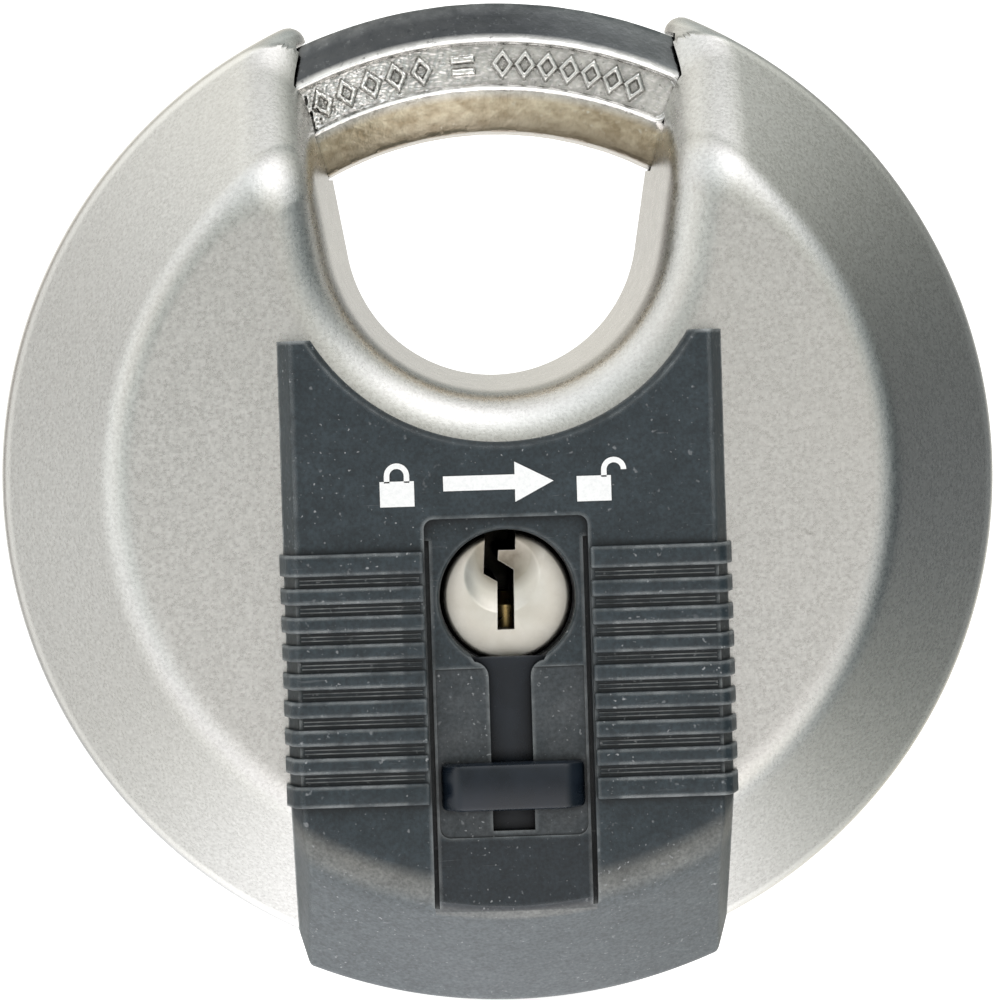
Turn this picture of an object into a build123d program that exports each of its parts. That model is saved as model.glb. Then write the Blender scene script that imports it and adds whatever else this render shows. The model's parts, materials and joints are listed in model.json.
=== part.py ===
from build123d import *
import math
import os

# Disc padlock, 70 mm class.  Millimetres, +Z up, front face towards -Y.
# The origin is on the disc's axis, in the middle plane between the two shells.
# Every solid is built in a bench frame (x right, y up, z towards the front)
# and is turned upright when it is written.  Clock angles are in degrees from
# the top, clockwise as seen from the front.  Cutting tools overshoot freely.

# body shell: each half is a short rim wall, a cone and a flat face
SHELL_T = 1.4
RIM_R = 35.0               # at the middle plane
RIM_WALL_R, RIM_WALL_Z = 34.6, 3.4     # where the rim wall meets the cone
RIDGE_R, FACE_Z = 26.25, 12.6          # where the cone meets the flat face
RIDGE_FILLET, RIM_FILLET = 2.8, 1.2
SHELL_FACE_CUT = (10, 14)  # z span of cuts through the flat face
# shackle opening: a U cut down from the top
NOTCH_R = 10.25            # at the middle plane
NOTCH_Y = 17.45            # height of its centre
NOTCH_DRAFT = 13.0         # degrees, wall leans back from the middle plane
NOTCH_FLARE = 9.5          # degrees, sides open upwards
NOTCH_TOP_Y = 45.0
NOTCH_Z = (-2.0, 18.0)
# shackle
SHACKLE_R = 28.7           # centre line
SHACKLE_AF = 9.03          # octagon across flats
SHACKLE_HALF = SHACKLE_AF / 2
SHACKLE_TIP_A, SHACKLE_TAIL_A = -43.5, 69.0
SHACKLE_HOLE_CL = 0.25
SHACKLE_HOLE_A = (17.0, 52.0)
PANEL_A = (-27.8, 26.2)
PANEL_R = (27.22, 30.18)
PANEL_DEPTH = 0.28
PATTERN_Z = (SHACKLE_HALF - PANEL_DEPTH - 0.1, SHACKLE_HALF - 0.05)
MARK_R = 28.72
MARK_A = (-23.6, -20.0, -16.4, -12.8, -9.2, 2.1, 5.2, 8.3, 11.4, 14.5, 17.6, 20.7)
MARK_OUTER = (0.76, 1.02)  # half diagonals, across and along the radius
MARK_INNER = (0.38, 0.51)
BAR_OFFSET = 0.42          # of each bar from the shackle's centre line
BAR_A = (-4.8, -2.0)
RIVET_R, RIVET_A = 27.9, (57.0, 65.0)
RIVET_POINTS = [(RIVET_R * math.sin(math.radians(a)), RIVET_R * math.cos(math.radians(a)))
                for a in RIVET_A]
# lock cylinder
PLUG_Y = -7.9              # height of the plug's axis
PLUG_R, PLUG_NOSE_R = 5.0, 4.42
BORE_CL = 0.05
PLUG_FRONT_Z, PLUG_SHOULDER_Z, PLUG_BACK_Z = 12.2, 9.8, -5.6
DRIVE_HALF = 2.2           # half width of the square on the plug's back
DRIVE_HOLE_HALF = DRIVE_HALF + 0.05
HOUSING_R = 6.3
HOUSING_Z = (-5.5, 9.8)
BIBLE_X, BIBLE_Y = 2.8, -22.2          # half width and foot of the pin block
CHAMBER_Z = (7.6, 4.0, 0.4, -3.2)      # front to rear
CHAMBER_R = 1.5
KEYWAY = [  # x, height above the plug's axis
    (-1.31, 4.75), (0.74, 4.75), (0.67, 3.13), (-0.47, 3.13), (-0.52, 2.46),
    (0.54, 1.78), (0.46, -2.24), (-0.68, -2.24), (-0.58, 0.98), (-1.50, 1.56)]
KEYWAY_Z = (-4.9, 14)
# pins and springs
PIN_R = 1.43
KEY_PIN_L = (5.0, 4.2, 3.6, 4.6)
KEY_PIN_Y = -12.74         # foot
KEY_PIN_BEVEL, KEY_PIN_TIP_L, KEY_PIN_TIP_R = 0.3, 0.9, 0.45
DRIVER_TOP_Y = -12.97
DRIVER_L, DRIVER_BEVEL = 4.0, 0.2
SPRING_Y0, SPRING_Y1 = -21.0, -17.02
SPRING_R, SPRING_WIRE, SPRING_TURNS = 1.08, 0.32, 5.5
CHAMBER_PLUG_Y = -21.05    # top
# drive
CRANK_R = 6.15             # crank pin from the plug's axis, to its right when closed
CAM_HUB_R, CAM_END_R = 4.5, 2.6
CAM_Z0, CAM_Z1 = -7.9, -6.3
WASHER = (4.3, -6.2, -5.62)            # radius, z span
ARM_Z = (-9.6, -8.05)
SLOT_A = 142.1             # clock angle of the arm's slot, closed
SLOT_R = (9.9, 14.2)       # centres of the slot's ends, from the disc's axis
SLOT_HALF = 1.7
SLOT_EYE_R, SLOT_EYE_SHIFT = 4.0, 0.4  # arm's outline round the slot's ends
LUG_R, LUG_A, LUG_END_R = 22.2, 63.0, 3.2
ARM_RING_A = (54.0, 72.0)
ARM_WALL_R = (24.6, 26.4)
ARM_STEP_Z = (-6.3, -4.55)
# countersunk screws: head radius, shank radius
PLATE_SCREW, PLATE_SCREW_L = (1.9, 0.95), 4.4
CAM_SCREW, CAM_SCREW_L, CAM_SCREW_HOLE_L = (1.7, 0.9), 2.55, 2.6
SCREW_CL = 0.06
SCREW_SINK = 0.02          # head below the plate's face
RECESS_DEPTH = 0.55
PILOT_R = 0.98
# core, guard plates and shackle guides
CORE_R = 23.9
CORE_Z = (-7.95, 9.85)
INNER_NOTCH_GROW = SHELL_T + 0.15
PLATE_R = 25.2
PLATE_Z0, PLATE_T = 9.9, 1.2
PLATE_Z1 = PLATE_Z0 + PLATE_T
PLATE_CUT = (5, 14)
CAM_POCKET_R = 9.1
POSTS = ((-20.3, -7.0), (-19.6, 3.2), (-15.5, -15.5))
POST_R, POST_END_Z = 2.4, -9.85
FRONT_SCREWS = ((-19.5, -9.0), (19.5, -9.0), (-18.5, 4.0), (18.5, 4.0))
GUIDE_GAP_R, GUIDE_GAP_A = (20.3, 40), (30.3, 51.0)
GUIDE_R, GUIDE_A = (20.5, 31.6), (30.6, 50.7)
GUIDE_CL = 0.12
# cover: a vertical band over each shell
COVER_X = 15.0             # half width at its foot
COVER_TOP_X = 14.1         # half width at its face
COVER_Z = 15.0
COVER_RIM_R = 37.0
COVER_RIM_WALL_R, COVER_RIM_WALL_Z = 36.55, 3.9
COVER_RIDGE_R = 28.35
COVER_RIDGE_FILLET, COVER_RIM_FILLET, COVER_TOP_FILLET = 5.0, 1.6, 0.35
COVER_TOP_Y = 9.75
COVER_ARC_R = 14.9
COVER_STEP = 0.9           # how much each side steps in near the bottom
COVER_SEAT_CL = 0.06
SIDE_TOP_Y, SIDE_BACK_Z = 14, -2       # ends of the tool that leans the cover's sides
CHANNEL_X, CHANNEL_Z, CHANNEL_TOP_Y = 5.5, 14.1, -2.45
KEY_HOLE_R = 4.6
POST_SLOT_X = 1.42
# ribs on each side of the channel
RIB_Y1, RIB_Y0 = -4.58, -21.53
RIB_X0, RIB_X1 = 5.6, 15.25
RIB_Z, RIB_UNDER_Z = 15.75, 14.3
RIB_LEG_X, RIB_LEG_Z = 14.0, FACE_Z + 0.08
RIB_N = 9
RIB_END_W, RIB_W = 1.45, 1.09
RIB_GAP = (RIB_Y1 - RIB_Y0 - 2 * RIB_END_W - (RIB_N - 2) * RIB_W) / (RIB_N - 1)
RIB_FILLET = 0.22
RIB_PROFILE = [  # x, z on the right-hand side
    (RIB_X0, RIB_UNDER_Z), (RIB_X0, RIB_Z - 0.12), (RIB_X0 + 0.12, RIB_Z), (14.25, RIB_Z),
    (14.5, RIB_Z - 0.2), (RIB_X1, 13.2), (RIB_X1, RIB_LEG_Z), (RIB_LEG_X, RIB_LEG_Z),
    (RIB_LEG_X, RIB_UNDER_Z)]
PAD_X1, PAD_Z, PAD_INSET = 14.15, (14.5, 15.2), 0.5
# grooves on each side of the rear cover
GROOVE_N, GROOVE_Y, GROOVE_PITCH = 8, -6.1, 1.888
GROOVE_X, GROOVE_HALF, GROOVE_DEPTH = (6.2, 14.6), 0.4, 0.5
# cover studs: radius, z span
STUDS = ((-12.4, 3.6), (12.4, 3.6), (-11.0, -20.0), (11.0, -20.0))
STUD_HEAD = (2.1, 10.35, 11.15)
STUD_SHANK = (1.2, 11.1, 14.2)
STUD_SHELL_HOLE = (1.25, *SHELL_FACE_CUT)
STUD_COVER_HOLE = (1.22, 12, 14.3)
STUD_PLATE_HOLE = (2.3, *PLATE_CUT)
# shutter
SHUTTER_Z = (12.72, 13.32)
GRIP_Y0, GRIP_W = -22.07, 3.14
GRIP_PROFILE = [  # x, z
    (-4.82, 14.16), (4.82, 14.16), (4.82, 14.75), (3.75, 15.9), (-3.75, 15.9), (-4.82, 14.75)]


# ------------------------------------------------------------------- helpers
def clock(r, angle):
    t = math.radians(angle)
    return (r * math.sin(t), r * math.cos(t))


def rect(x0, x1, y0, y1):
    return [(x0, y0), (x1, y0), (x1, y1), (x0, y1)]


def radial_face(outline):
    return Face(Wire.make_polygon([Vector(r, 0, z) for r, z in outline], close=True))


def ring(outline, a0, a1):
    """Turn an (r, z) outline about the disc's axis between two clock angles."""
    return Rot(0, 0, 90.0 - a1) * Solid.revolve(radial_face(outline), a1 - a0, Axis.Z)


def ring_pair(outline, a0, a1):
    """A ring sector on the right and its like on the left."""
    return ring(outline, a0, a1), ring(outline, -a1, -a0)


def full_turn(outline):
    return Solid.revolve(radial_face(outline), 360.0, Axis.Z)


def prism(outline, z0, z1):
    """An (x, y) outline extruded along z."""
    face = Face(Wire.make_polygon([Vector(x, y, z0) for x, y in outline], close=True))
    return Solid.extrude(face, Vector(0, 0, z1 - z0))


def y_prism(outline, y0, length):
    """An (x, z) outline extruded along y."""
    face = Face(Wire.make_polygon([Vector(x, y0, z) for x, z in outline], close=True))
    return Solid.extrude(face, Vector(0, length, 0))


def box(x0, x1, y0, y1, z0, z1):
    return prism(rect(x0, x1, y0, y1), z0, z1)


def plug_square(half_width, z0, z1):
    """Square bar on the plug's axis."""
    return box(-half_width, half_width, PLUG_Y - half_width, PLUG_Y + half_width, z0, z1)


def cylinder(x, y, r, z0, z1):
    return Pos(x, y, z0) * Solid.make_cylinder(r, z1 - z0)


def cone(x, y, r0, r1, z0, height):
    return Pos(x, y, z0) * Solid.make_cone(r0, r1, height)


def y_cylinder(z, r, y0, y1):
    """A cylinder along y, in the plane x = 0."""
    return Pos(0, y0, z) * Rot(-90, 0, 0) * Solid.make_cylinder(r, y1 - y0)


def y_cone(z, r0, r1, y0, y1):
    return Pos(0, y0, z) * Rot(-90, 0, 0) * Solid.make_cone(r0, r1, y1 - y0)


def hull_plate(circles, z0, z1):
    """Plate whose outline is the hull of some circles (x, y, r)."""
    points = []
    for x, y, r in circles:
        for k in range(96):
            t = 2 * math.pi * k / 96
            points.append((x + r * math.cos(t), y + r * math.sin(t)))
    points = sorted(set(points))

    def turn(o, a, b):
        return (a[0] - o[0]) * (b[1] - o[1]) - (a[1] - o[1]) * (b[0] - o[0])

    def chain(run):
        kept = []
        for p in run:
            while len(kept) > 1 and turn(kept[-2], kept[-1], p) <= 1e-9:
                kept.pop()
            kept.append(p)
        return kept[:-1]

    return prism(chain(points) + chain(reversed(points)), z0, z1)


def cut(shape, *tools):
    """Subtract the tools one after another."""
    for tool in tools:
        shape = shape - tool
    return shape


def drill(shape, places, r, z0, z1):
    return cut(shape, *[cylinder(x, y, r, z0, z1) for x, y in places])


def one(shape):
    """The single solid of a result, or its largest."""
    solids = shape.solids()
    return solids[0] if len(solids) == 1 else max(solids, key=lambda s: s.volume)


def mirror_z(shape):
    return shape.mirror(Plane.XY)


def fillet_uprights(shape, radius, min_length):
    """Round the edges that rise along z by more than min_length."""
    edges = [e for e in shape.edges() if e.bounding_box().size.Z > min_length]
    return one(shape.fillet(radius, edges))


def octagon(grow=0.0):
    """The shackle's (r, z) section."""
    h = SHACKLE_HALF + grow
    c = h * math.tan(math.radians(22.5))
    return [(SHACKLE_R + x, z) for x, z in ((-c, -h), (c, -h), (h, -c), (h, c),
                                            (c, h), (-c, h), (-h, c), (-h, -c))]


def notch_wire(r, z):
    flare = math.radians(NOTCH_FLARE)
    x_arc = r * math.cos(flare)
    y_arc = NOTCH_Y - r * math.sin(flare)
    x_top = x_arc + (NOTCH_TOP_Y - y_arc) * math.tan(flare)
    arc_left, arc_right = Vector(-x_arc, y_arc, z), Vector(x_arc, y_arc, z)
    top_left, top_right = Vector(-x_top, NOTCH_TOP_Y, z), Vector(x_top, NOTCH_TOP_Y, z)
    return Wire([
        Edge.make_line(top_left, arc_left),
        Edge.make_three_point_arc(arc_left, Vector(0, NOTCH_Y - r, z), arc_right),
        Edge.make_line(arc_right, top_right),
        Edge.make_line(top_right, top_left),
    ])


def notch(grow):
    """The flared U of the shackle opening, for the front half."""
    draft = math.radians(NOTCH_DRAFT)
    r = NOTCH_R + grow / math.cos(draft)
    return Solid.make_loft([notch_wire(r + math.tan(draft) * z, z) for z in NOTCH_Z], ruled=True)


def half_body(offset, z0=0.0):
    """Front half body, offset from the shell's outside, with the opening cut in it."""
    # the factors are each corner's travel per millimetre of offset
    rim_r = RIM_R + 1.0068 * offset
    outline = [(0.0, z0), (rim_r, z0)]
    if z0 < 0:
        outline.append((rim_r, 0.0))
    outline += [(RIM_WALL_R + 0.9557 * offset, RIM_WALL_Z + 0.4349 * offset),
                (RIDGE_R + 0.4429 * offset, FACE_Z + offset),
                (0.0, FACE_Z + offset)]
    return full_turn(outline) - notch(-offset)


def screw_blank(x, y, z_face, facing, head_r, shank_r, length, clearance=0.0):
    """Countersunk head and shank; facing is +1 if the head looks towards +z, else -1."""
    height = head_r - shank_r
    neck_z = z_face - facing * height
    head_r, shank_r = head_r + clearance, shank_r + clearance
    if facing > 0:
        head = cone(x, y, shank_r, head_r, neck_z, height)
    else:
        head = cone(x, y, head_r, shank_r, z_face, height)
    z_span = sorted((z_face - facing * length, neck_z + facing * 0.001))
    return head + cylinder(x, y, shank_r, *z_span)


def screw(x, y, z_face, facing, head_r, shank_r, length):
    """Countersunk screw with a cross recess."""
    body = screw_blank(x, y, z_face, facing, head_r, shank_r, length)
    z_span = sorted((z_face - facing * RECESS_DEPTH, z_face + facing))
    arm, width = head_r * 0.55, head_r * 0.17
    return one(cut(body, box(x - arm, x + arm, y - width, y + width, *z_span),
                   box(x - width, x + width, y - arm, y + arm, *z_span)))


def screw_hole(x, y, z_face, facing, head_r, shank_r, length):
    """Cutting tool for a screw, open above its head."""
    body = screw_blank(x, y, z_face, facing, head_r, shank_r, length, SCREW_CL)
    z_span = sorted((z_face, z_face + facing * 0.6))
    return body + cylinder(x, y, head_r + SCREW_CL, *z_span)


def write(name, shape):
    shape = Rot(90, 0, 0) * shape
    shape.label = name
    export_step(shape, f"parts/{name}.step")


def write_group(name, shapes):
    solids = [s for shape in shapes for s in shape.solids()]
    group = Compound(children=[Rot(90, 0, 0) * s for s in solids])
    group.label = name
    export_step(group, f"parts/{name}.step")


# -------------------------------------------------------------------- shells
def shell_half(front):
    outer = half_body(0.0)
    ridge = [e for e in outer.edges() if e.bounding_box().min.Z > FACE_Z - 0.01]
    outer = one(outer.fillet(RIDGE_FILLET, ridge))
    rim = [e for e in outer.edges()
           if abs(e.center().Z - RIM_WALL_Z) < 0.02 and e.bounding_box().size.Z < 0.02]
    try:
        outer = one(outer.fillet(RIM_FILLET, rim))
    except Exception:
        pass  # the rim stays sharp if the kernel can't round it
    shell = outer - half_body(-SHELL_T, -1.0)
    shell = cut(shell, *ring_pair(octagon(SHACKLE_HOLE_CL), *SHACKLE_HOLE_A))
    shell = drill(shell, STUDS, *STUD_SHELL_HOLE)
    if front:
        shell = shell - cylinder(0, PLUG_Y, PLUG_NOSE_R + 0.13, *SHELL_FACE_CUT)
    return one(shell)


# -------------------------------------------------------------------- covers
def cover_blank():
    body = full_turn([(0.0, 0.0), (COVER_RIM_R, 0.0), (COVER_RIM_WALL_R, COVER_RIM_WALL_Z),
                      (COVER_RIDGE_R, COVER_Z), (0.0, COVER_Z)])
    for z, radius in ((COVER_Z, COVER_RIDGE_FILLET), (COVER_RIM_WALL_Z, COVER_RIM_FILLET)):
        edges = [e for e in body.edges() if abs(e.center().Z - z) < 0.01 and e.length > 50]
        body = one(body.fillet(radius, edges))
    # plan outline: straight sides stepped in near the bottom, a concave arc at the top
    step_x = COVER_X - COVER_STEP
    left = [(-COVER_X, COVER_TOP_Y), (-COVER_X, -33.0), (-step_x, -34.3), (-step_x, -50)]
    right = [(-x, y) for x, y in reversed(left)]
    slab = prism(left + right, -1, 20)
    return one((body & slab) - cylinder(0, NOTCH_Y, COVER_ARC_R, -1, 20))


def side_section(x, rim_r, wall_r, wall_z, ridge_r, face_z):
    """Where the plane at x meets a turned body: foot, cone, flat face, then closed behind."""
    def on_body(r, z):
        return Vector(x, -math.sqrt(r * r - x * x), z)

    slope = [on_body(wall_r + (ridge_r - wall_r) * k / 6, wall_z + (face_z - wall_z) * k / 6)
             for k in range(7)]
    foot = on_body(rim_r, 0.0)
    top = Vector(x, SIDE_TOP_Y, face_z)
    back = Vector(x, SIDE_TOP_Y, SIDE_BACK_Z)
    low = Vector(x, foot.Y, SIDE_BACK_Z)
    return Wire([Edge.make_line(foot, slope[0]), Edge.make_spline(slope),
                 Edge.make_line(slope[-1], top), Edge.make_line(top, back),
                 Edge.make_line(back, low), Edge.make_line(low, foot)])


def side_limits():
    """Room the cover may fill: its sides lean in from the shell to the cover's face."""
    limits = box(-COVER_TOP_X, COVER_TOP_X, -60, SIDE_TOP_Y, SIDE_BACK_Z, 20)
    for side in (-1, 1):
        inner = side_section(side * COVER_TOP_X, COVER_RIM_R, COVER_RIM_WALL_R,
                             COVER_RIM_WALL_Z, COVER_RIDGE_R, COVER_Z)
        outer = side_section(side * COVER_X, RIM_R, RIM_WALL_R, RIM_WALL_Z, RIDGE_R, FACE_Z)
        limits = limits + Solid.make_loft([inner, outer], ruled=True)
    return limits


def cover_rib(side, y_top, width):
    rib = y_prism([(side * x, z) for x, z in RIB_PROFILE], y_top - width, width)
    # profile edges of both end faces, less the inner end, the leg's inside and its low outside
    edges = [e for e in rib.edges()
             if e.bounding_box().size.Y < 1e-3
             and abs(e.center().X) > RIB_X0 + 0.01
             and abs(abs(e.center().X) - RIB_LEG_X) >= 0.01
             and e.center().Z > 13.19]
    try:
        rib = one(rib.fillet(RIB_FILLET, edges))
    except Exception:
        pass  # the rib stays sharp if the kernel can't round it
    return rib


def add_ribs(body):
    """A pad and a row of ribs on each side."""
    for side in (-1, 1):
        pad = [(side * x, z) for x, z in rect(RIB_X0, PAD_X1, *PAD_Z)]
        body = body + y_prism(pad, RIB_Y0 + PAD_INSET, RIB_Y1 - RIB_Y0 - 2 * PAD_INSET)
        y = RIB_Y1
        for k in range(RIB_N):
            width = RIB_END_W if k in (0, RIB_N - 1) else RIB_W
            body = body + cover_rib(side, y, width)
            y -= width + RIB_GAP
    return one(body)


def cut_channel(body):
    """Middle channel with the shutter's pocket, the key hole and the post's slot."""
    channel = box(-CHANNEL_X, CHANNEL_X, -50, CHANNEL_TOP_Y, CHANNEL_Z, 20)
    corners = [e for e in channel.edges()
               if abs(e.center().Y - CHANNEL_TOP_Y) < 0.01 and e.bounding_box().size.Z > 1]
    channel = one(channel.fillet(0.8, corners))
    # shallow pocket in the channel's floor, round the shutter's path
    shallow = box(-5.0, 5.0, -24.0, -12.9, CHANNEL_Z - 0.12, CHANNEL_Z + 0.5)
    return cut(body, channel,
               box(-5.25, 5.25, -24.8, -2.75, 12.0, 13.4),  # shutter pocket behind the floor
               cylinder(0, PLUG_Y, KEY_HOLE_R, 10, 20),
               box(-POST_SLOT_X, POST_SLOT_X, -23.6, -12.0, 12, 20),
               fillet_uprights(shallow, 0.9, 0.5))


def cut_grooves(body):
    for side in (-1, 1):
        x0, x1 = sorted(side * x for x in GROOVE_X)
        for k in range(GROOVE_N):
            y = GROOVE_Y - GROOVE_PITCH * k
            body = body - box(x0, x1, y - GROOVE_HALF, y + GROOVE_HALF,
                              COVER_Z - GROOVE_DEPTH, 20)
    return body


def cover(front):
    body = one(cover_blank() & side_limits())
    top = [e for e in body.edges()
           if e.bounding_box().min.Z > COVER_Z - 0.01 and e.center().Y > -5]
    try:
        body = one(body.fillet(COVER_TOP_FILLET, top))
    except Exception:
        pass  # the face's upper edges stay sharp if the kernel can't round them
    body = one(body - half_body(COVER_SEAT_CL, -1.0))
    body = cut_channel(add_ribs(body)) if front else cut_grooves(body)
    return one(drill(body, STUDS, *STUD_COVER_HOLE))


def cover_studs():
    return [one(cylinder(x, y, *STUD_HEAD) + cylinder(x, y, *STUD_SHANK)) for x, y in STUDS]


# ------------------------------------------------------------------- shutter
def shutter_plate():
    plate = fillet_uprights(box(-5.1, 5.1, -24.4, -11.9, *SHUTTER_Z), 0.8, 0.3)
    return one(plate - box(-1.0, 1.0, -21.2, -19.8, 12, 14))


def shutter_grip():
    """Bar with sloped ends, a post through the slot and a peg in the plate."""
    bar = y_prism(GRIP_PROFILE, GRIP_Y0, GRIP_W)
    bar = one(bar.fillet(0.3, [e for e in bar.edges() if e.center().Z > 15.0]))
    post = box(-1.3, 1.3, -21.6, -19.4, 13.36, 14.2)
    peg = box(-0.95, 0.95, -21.15, -19.85, 12.78, 13.4)
    return one(bar + post + peg)


# ------------------------------------------------------------- lock cylinder
def cylinder_housing():
    body = (cylinder(0, PLUG_Y, HOUSING_R, *HOUSING_Z)
            + box(-BIBLE_X, BIBLE_X, BIBLE_Y, PLUG_Y - 2, *HOUSING_Z))
    body = body - cylinder(0, PLUG_Y, PLUG_R + BORE_CL, HOUSING_Z[0] - 1, HOUSING_Z[1] + 1)
    return one(cut(body, *[y_cylinder(z, CHAMBER_R, BIBLE_Y - 1, PLUG_Y - 4)
                           for z in CHAMBER_Z]))


def lock_plug():
    plug = (cylinder(0, PLUG_Y, PLUG_R, PLUG_BACK_Z, PLUG_SHOULDER_Z)
            + cylinder(0, PLUG_Y, PLUG_NOSE_R, PLUG_SHOULDER_Z - 0.1, PLUG_FRONT_Z))
    nose_edge = [e for e in plug.edges() if abs(e.center().Z - PLUG_FRONT_Z) < 0.01]
    plug = one(one(plug).fillet(0.3, nose_edge))
    plug = plug + plug_square(DRIVE_HALF, -7.1, PLUG_BACK_Z + 0.1)
    # dish at the top of the keyway
    plug = plug - cone(-0.28, PLUG_Y + 1.45, 1.5, 2.6, PLUG_FRONT_Z - 0.62, 0.63)
    plug = plug - prism([(x, PLUG_Y + y) for x, y in KEYWAY], *KEYWAY_Z)
    plug = cut(plug, *[y_cylinder(z, CHAMBER_R, PLUG_Y - 6, -7.35) for z in CHAMBER_Z])
    return one(plug - cylinder(0, PLUG_Y, 0.95, -8, -5.2))


def key_pin(z, length):
    bevel_y = KEY_PIN_Y + KEY_PIN_BEVEL
    top_y = KEY_PIN_Y + length
    tip_y = top_y - KEY_PIN_TIP_L
    return one(y_cone(z, PIN_R - KEY_PIN_BEVEL, PIN_R, KEY_PIN_Y, bevel_y)
               + y_cylinder(z, PIN_R, bevel_y, tip_y)
               + y_cone(z, PIN_R, KEY_PIN_TIP_R, tip_y, top_y))


def driver_pin(z):
    bevel_y = DRIVER_TOP_Y - DRIVER_BEVEL
    return one(y_cone(z, PIN_R, PIN_R - DRIVER_BEVEL, bevel_y, DRIVER_TOP_Y)
               + y_cylinder(z, PIN_R, DRIVER_TOP_Y - DRIVER_L, bevel_y))


def pin_spring(z):
    height = SPRING_Y1 - SPRING_Y0 - SPRING_WIRE
    path = Edge.make_helix(height / SPRING_TURNS, height, SPRING_R)
    plane = Plane(origin=path.position_at(0), z_dir=path.tangent_at(0))
    section = Wire(Edge.make_circle(SPRING_WIRE / 2, plane))
    coil = Solid.sweep(Face(section), path, is_frenet=True)
    return one(Pos(0, SPRING_Y0 + SPRING_WIRE / 2, z) * Rot(-90, 0, 0) * coil)


# --------------------------------------------------------------------- drive
def thrust_washer():
    return one(cylinder(0, PLUG_Y, *WASHER) - plug_square(DRIVE_HOLE_HALF, -7, -5))


def drive_cam():
    cam = hull_plate([(0, PLUG_Y, CAM_HUB_R), (CRANK_R, PLUG_Y, CAM_END_R)], CAM_Z0, CAM_Z1)
    return one(cut(cam, plug_square(DRIVE_HOLE_HALF, -7.15, -6),
                   screw_hole(0, PLUG_Y, CAM_Z0, -1, *CAM_SCREW, CAM_SCREW_HOLE_L),
                   cylinder(CRANK_R, PLUG_Y, 1.0, -9, -6)))


def crank_pin():
    return one(cylinder(CRANK_R, PLUG_Y, 1.5, -9.7, CAM_Z0 - 0.02)
               + cylinder(CRANK_R, PLUG_Y, 0.99, CAM_Z0 - 0.1, CAM_Z1 - 0.02))


# ------------------------------------------------------------------- shackle
def lozenge(angle, half_diagonals, z0, z1):
    x, y = clock(MARK_R, angle)
    across, along = half_diagonals
    outline = [(across, 0), (0, along), (-across, 0), (0, -along)]
    return Pos(x, y, 0) * Rot(0, 0, -angle) * prism(outline, z0, z1)


def shackle():
    """Octagonal bow; its front has a sunk panel with open lozenges and two bars."""
    floor_z = SHACKLE_HALF - PANEL_DEPTH
    body = ring(octagon(), SHACKLE_TIP_A, SHACKLE_TAIL_A)
    body = body - ring(rect(*PANEL_R, floor_z, SHACKLE_HALF + 1), *PANEL_A)
    for angle in MARK_A:
        body = body + (lozenge(angle, MARK_OUTER, *PATTERN_Z)
                       - lozenge(angle, MARK_INNER, floor_z, SHACKLE_HALF + 1))
    z0, z1 = PATTERN_Z
    for r in (SHACKLE_R - BAR_OFFSET, SHACKLE_R + BAR_OFFSET):
        bar = [(r - 0.2, z0), (r + 0.2, z0), (r + 0.16, z1), (r - 0.16, z1)]
        body = body + ring(bar, *BAR_A)
    return one(drill(body, RIVET_POINTS, 1.0, -SHACKLE_HALF - 1, -SHACKLE_HALF + 2.4))


def shackle_arm():
    """Slotted plate behind the core, stepped forward to the shackle's tail."""
    eyes = [(*clock(SLOT_R[0] - SLOT_EYE_SHIFT, SLOT_A), SLOT_EYE_R),
            (*clock(SLOT_R[1] + SLOT_EYE_SHIFT, SLOT_A), SLOT_EYE_R)]
    arm = hull_plate(eyes + [(*clock(LUG_R, LUG_A), LUG_END_R)], *ARM_Z)
    wall_r0, wall_r1 = ARM_WALL_R
    for section in (rect(21.0, wall_r1, *ARM_Z),
                    rect(wall_r0, wall_r1, ARM_Z[0], ARM_STEP_Z[1]),
                    rect(wall_r0, 29.35, *ARM_STEP_Z)):
        arm = arm + ring(section, *ARM_RING_A)
    slot = [(*clock(r, SLOT_A), SLOT_HALF) for r in SLOT_R]
    arm = arm - hull_plate(slot, ARM_Z[0] - 1, ARM_Z[1] + 1)
    for x, y in RIVET_POINTS:
        arm = cut(arm, cylinder(x, y, 1.03, -7, -4), cone(x, y, 1.78, 1.03, -6.35, 0.75))
    return one(arm)


def shackle_rivets():
    return [one(cylinder(x, y, 0.98, -6.0, -SHACKLE_HALF + 2.3)
                + cone(x, y, 1.68, 0.98, -6.28, 0.7)) for x, y in RIVET_POINTS]


# ----------------------------------------------------------------- internals
def core_block():
    core = cylinder(0, 0, CORE_R, *CORE_Z)
    core = cut(core, notch(INNER_NOTCH_GROW), mirror_z(notch(INNER_NOTCH_GROW)))
    # pocket for the lock cylinder, closed behind it but for the cam's pocket
    pocket_z = HOUSING_Z[0] - 0.03
    core = cut(core, cylinder(0, PLUG_Y, HOUSING_R + 0.05, pocket_z, 20),
               box(-BIBLE_X - 0.05, BIBLE_X + 0.05, BIBLE_Y - 0.05, PLUG_Y, pocket_z, 20),
               cylinder(0, PLUG_Y, CAM_POCKET_R, -20, pocket_z))
    core = one(cut(core, *ring_pair(rect(*GUIDE_GAP_R, -12, 12), *GUIDE_GAP_A)))
    for x, y in POSTS:
        core = core + cylinder(x, y, POST_R, POST_END_Z, CORE_Z[0] + 0.5)
    core = drill(core, POSTS, PILOT_R, -12, -6.0)
    return one(drill(core, FRONT_SCREWS, PILOT_R, 6.0, 12))


def plate_blank():
    """Guard plate without its screw holes, in the front position."""
    plate = cylinder(0, 0, PLATE_R, PLATE_Z0, PLATE_Z1) - notch(INNER_NOTCH_GROW)
    plate = one(cut(plate, *ring_pair(rect(*GUIDE_GAP_R, 5, 12), *GUIDE_GAP_A)))
    return drill(plate, STUDS, *STUD_PLATE_HOLE)


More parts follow.
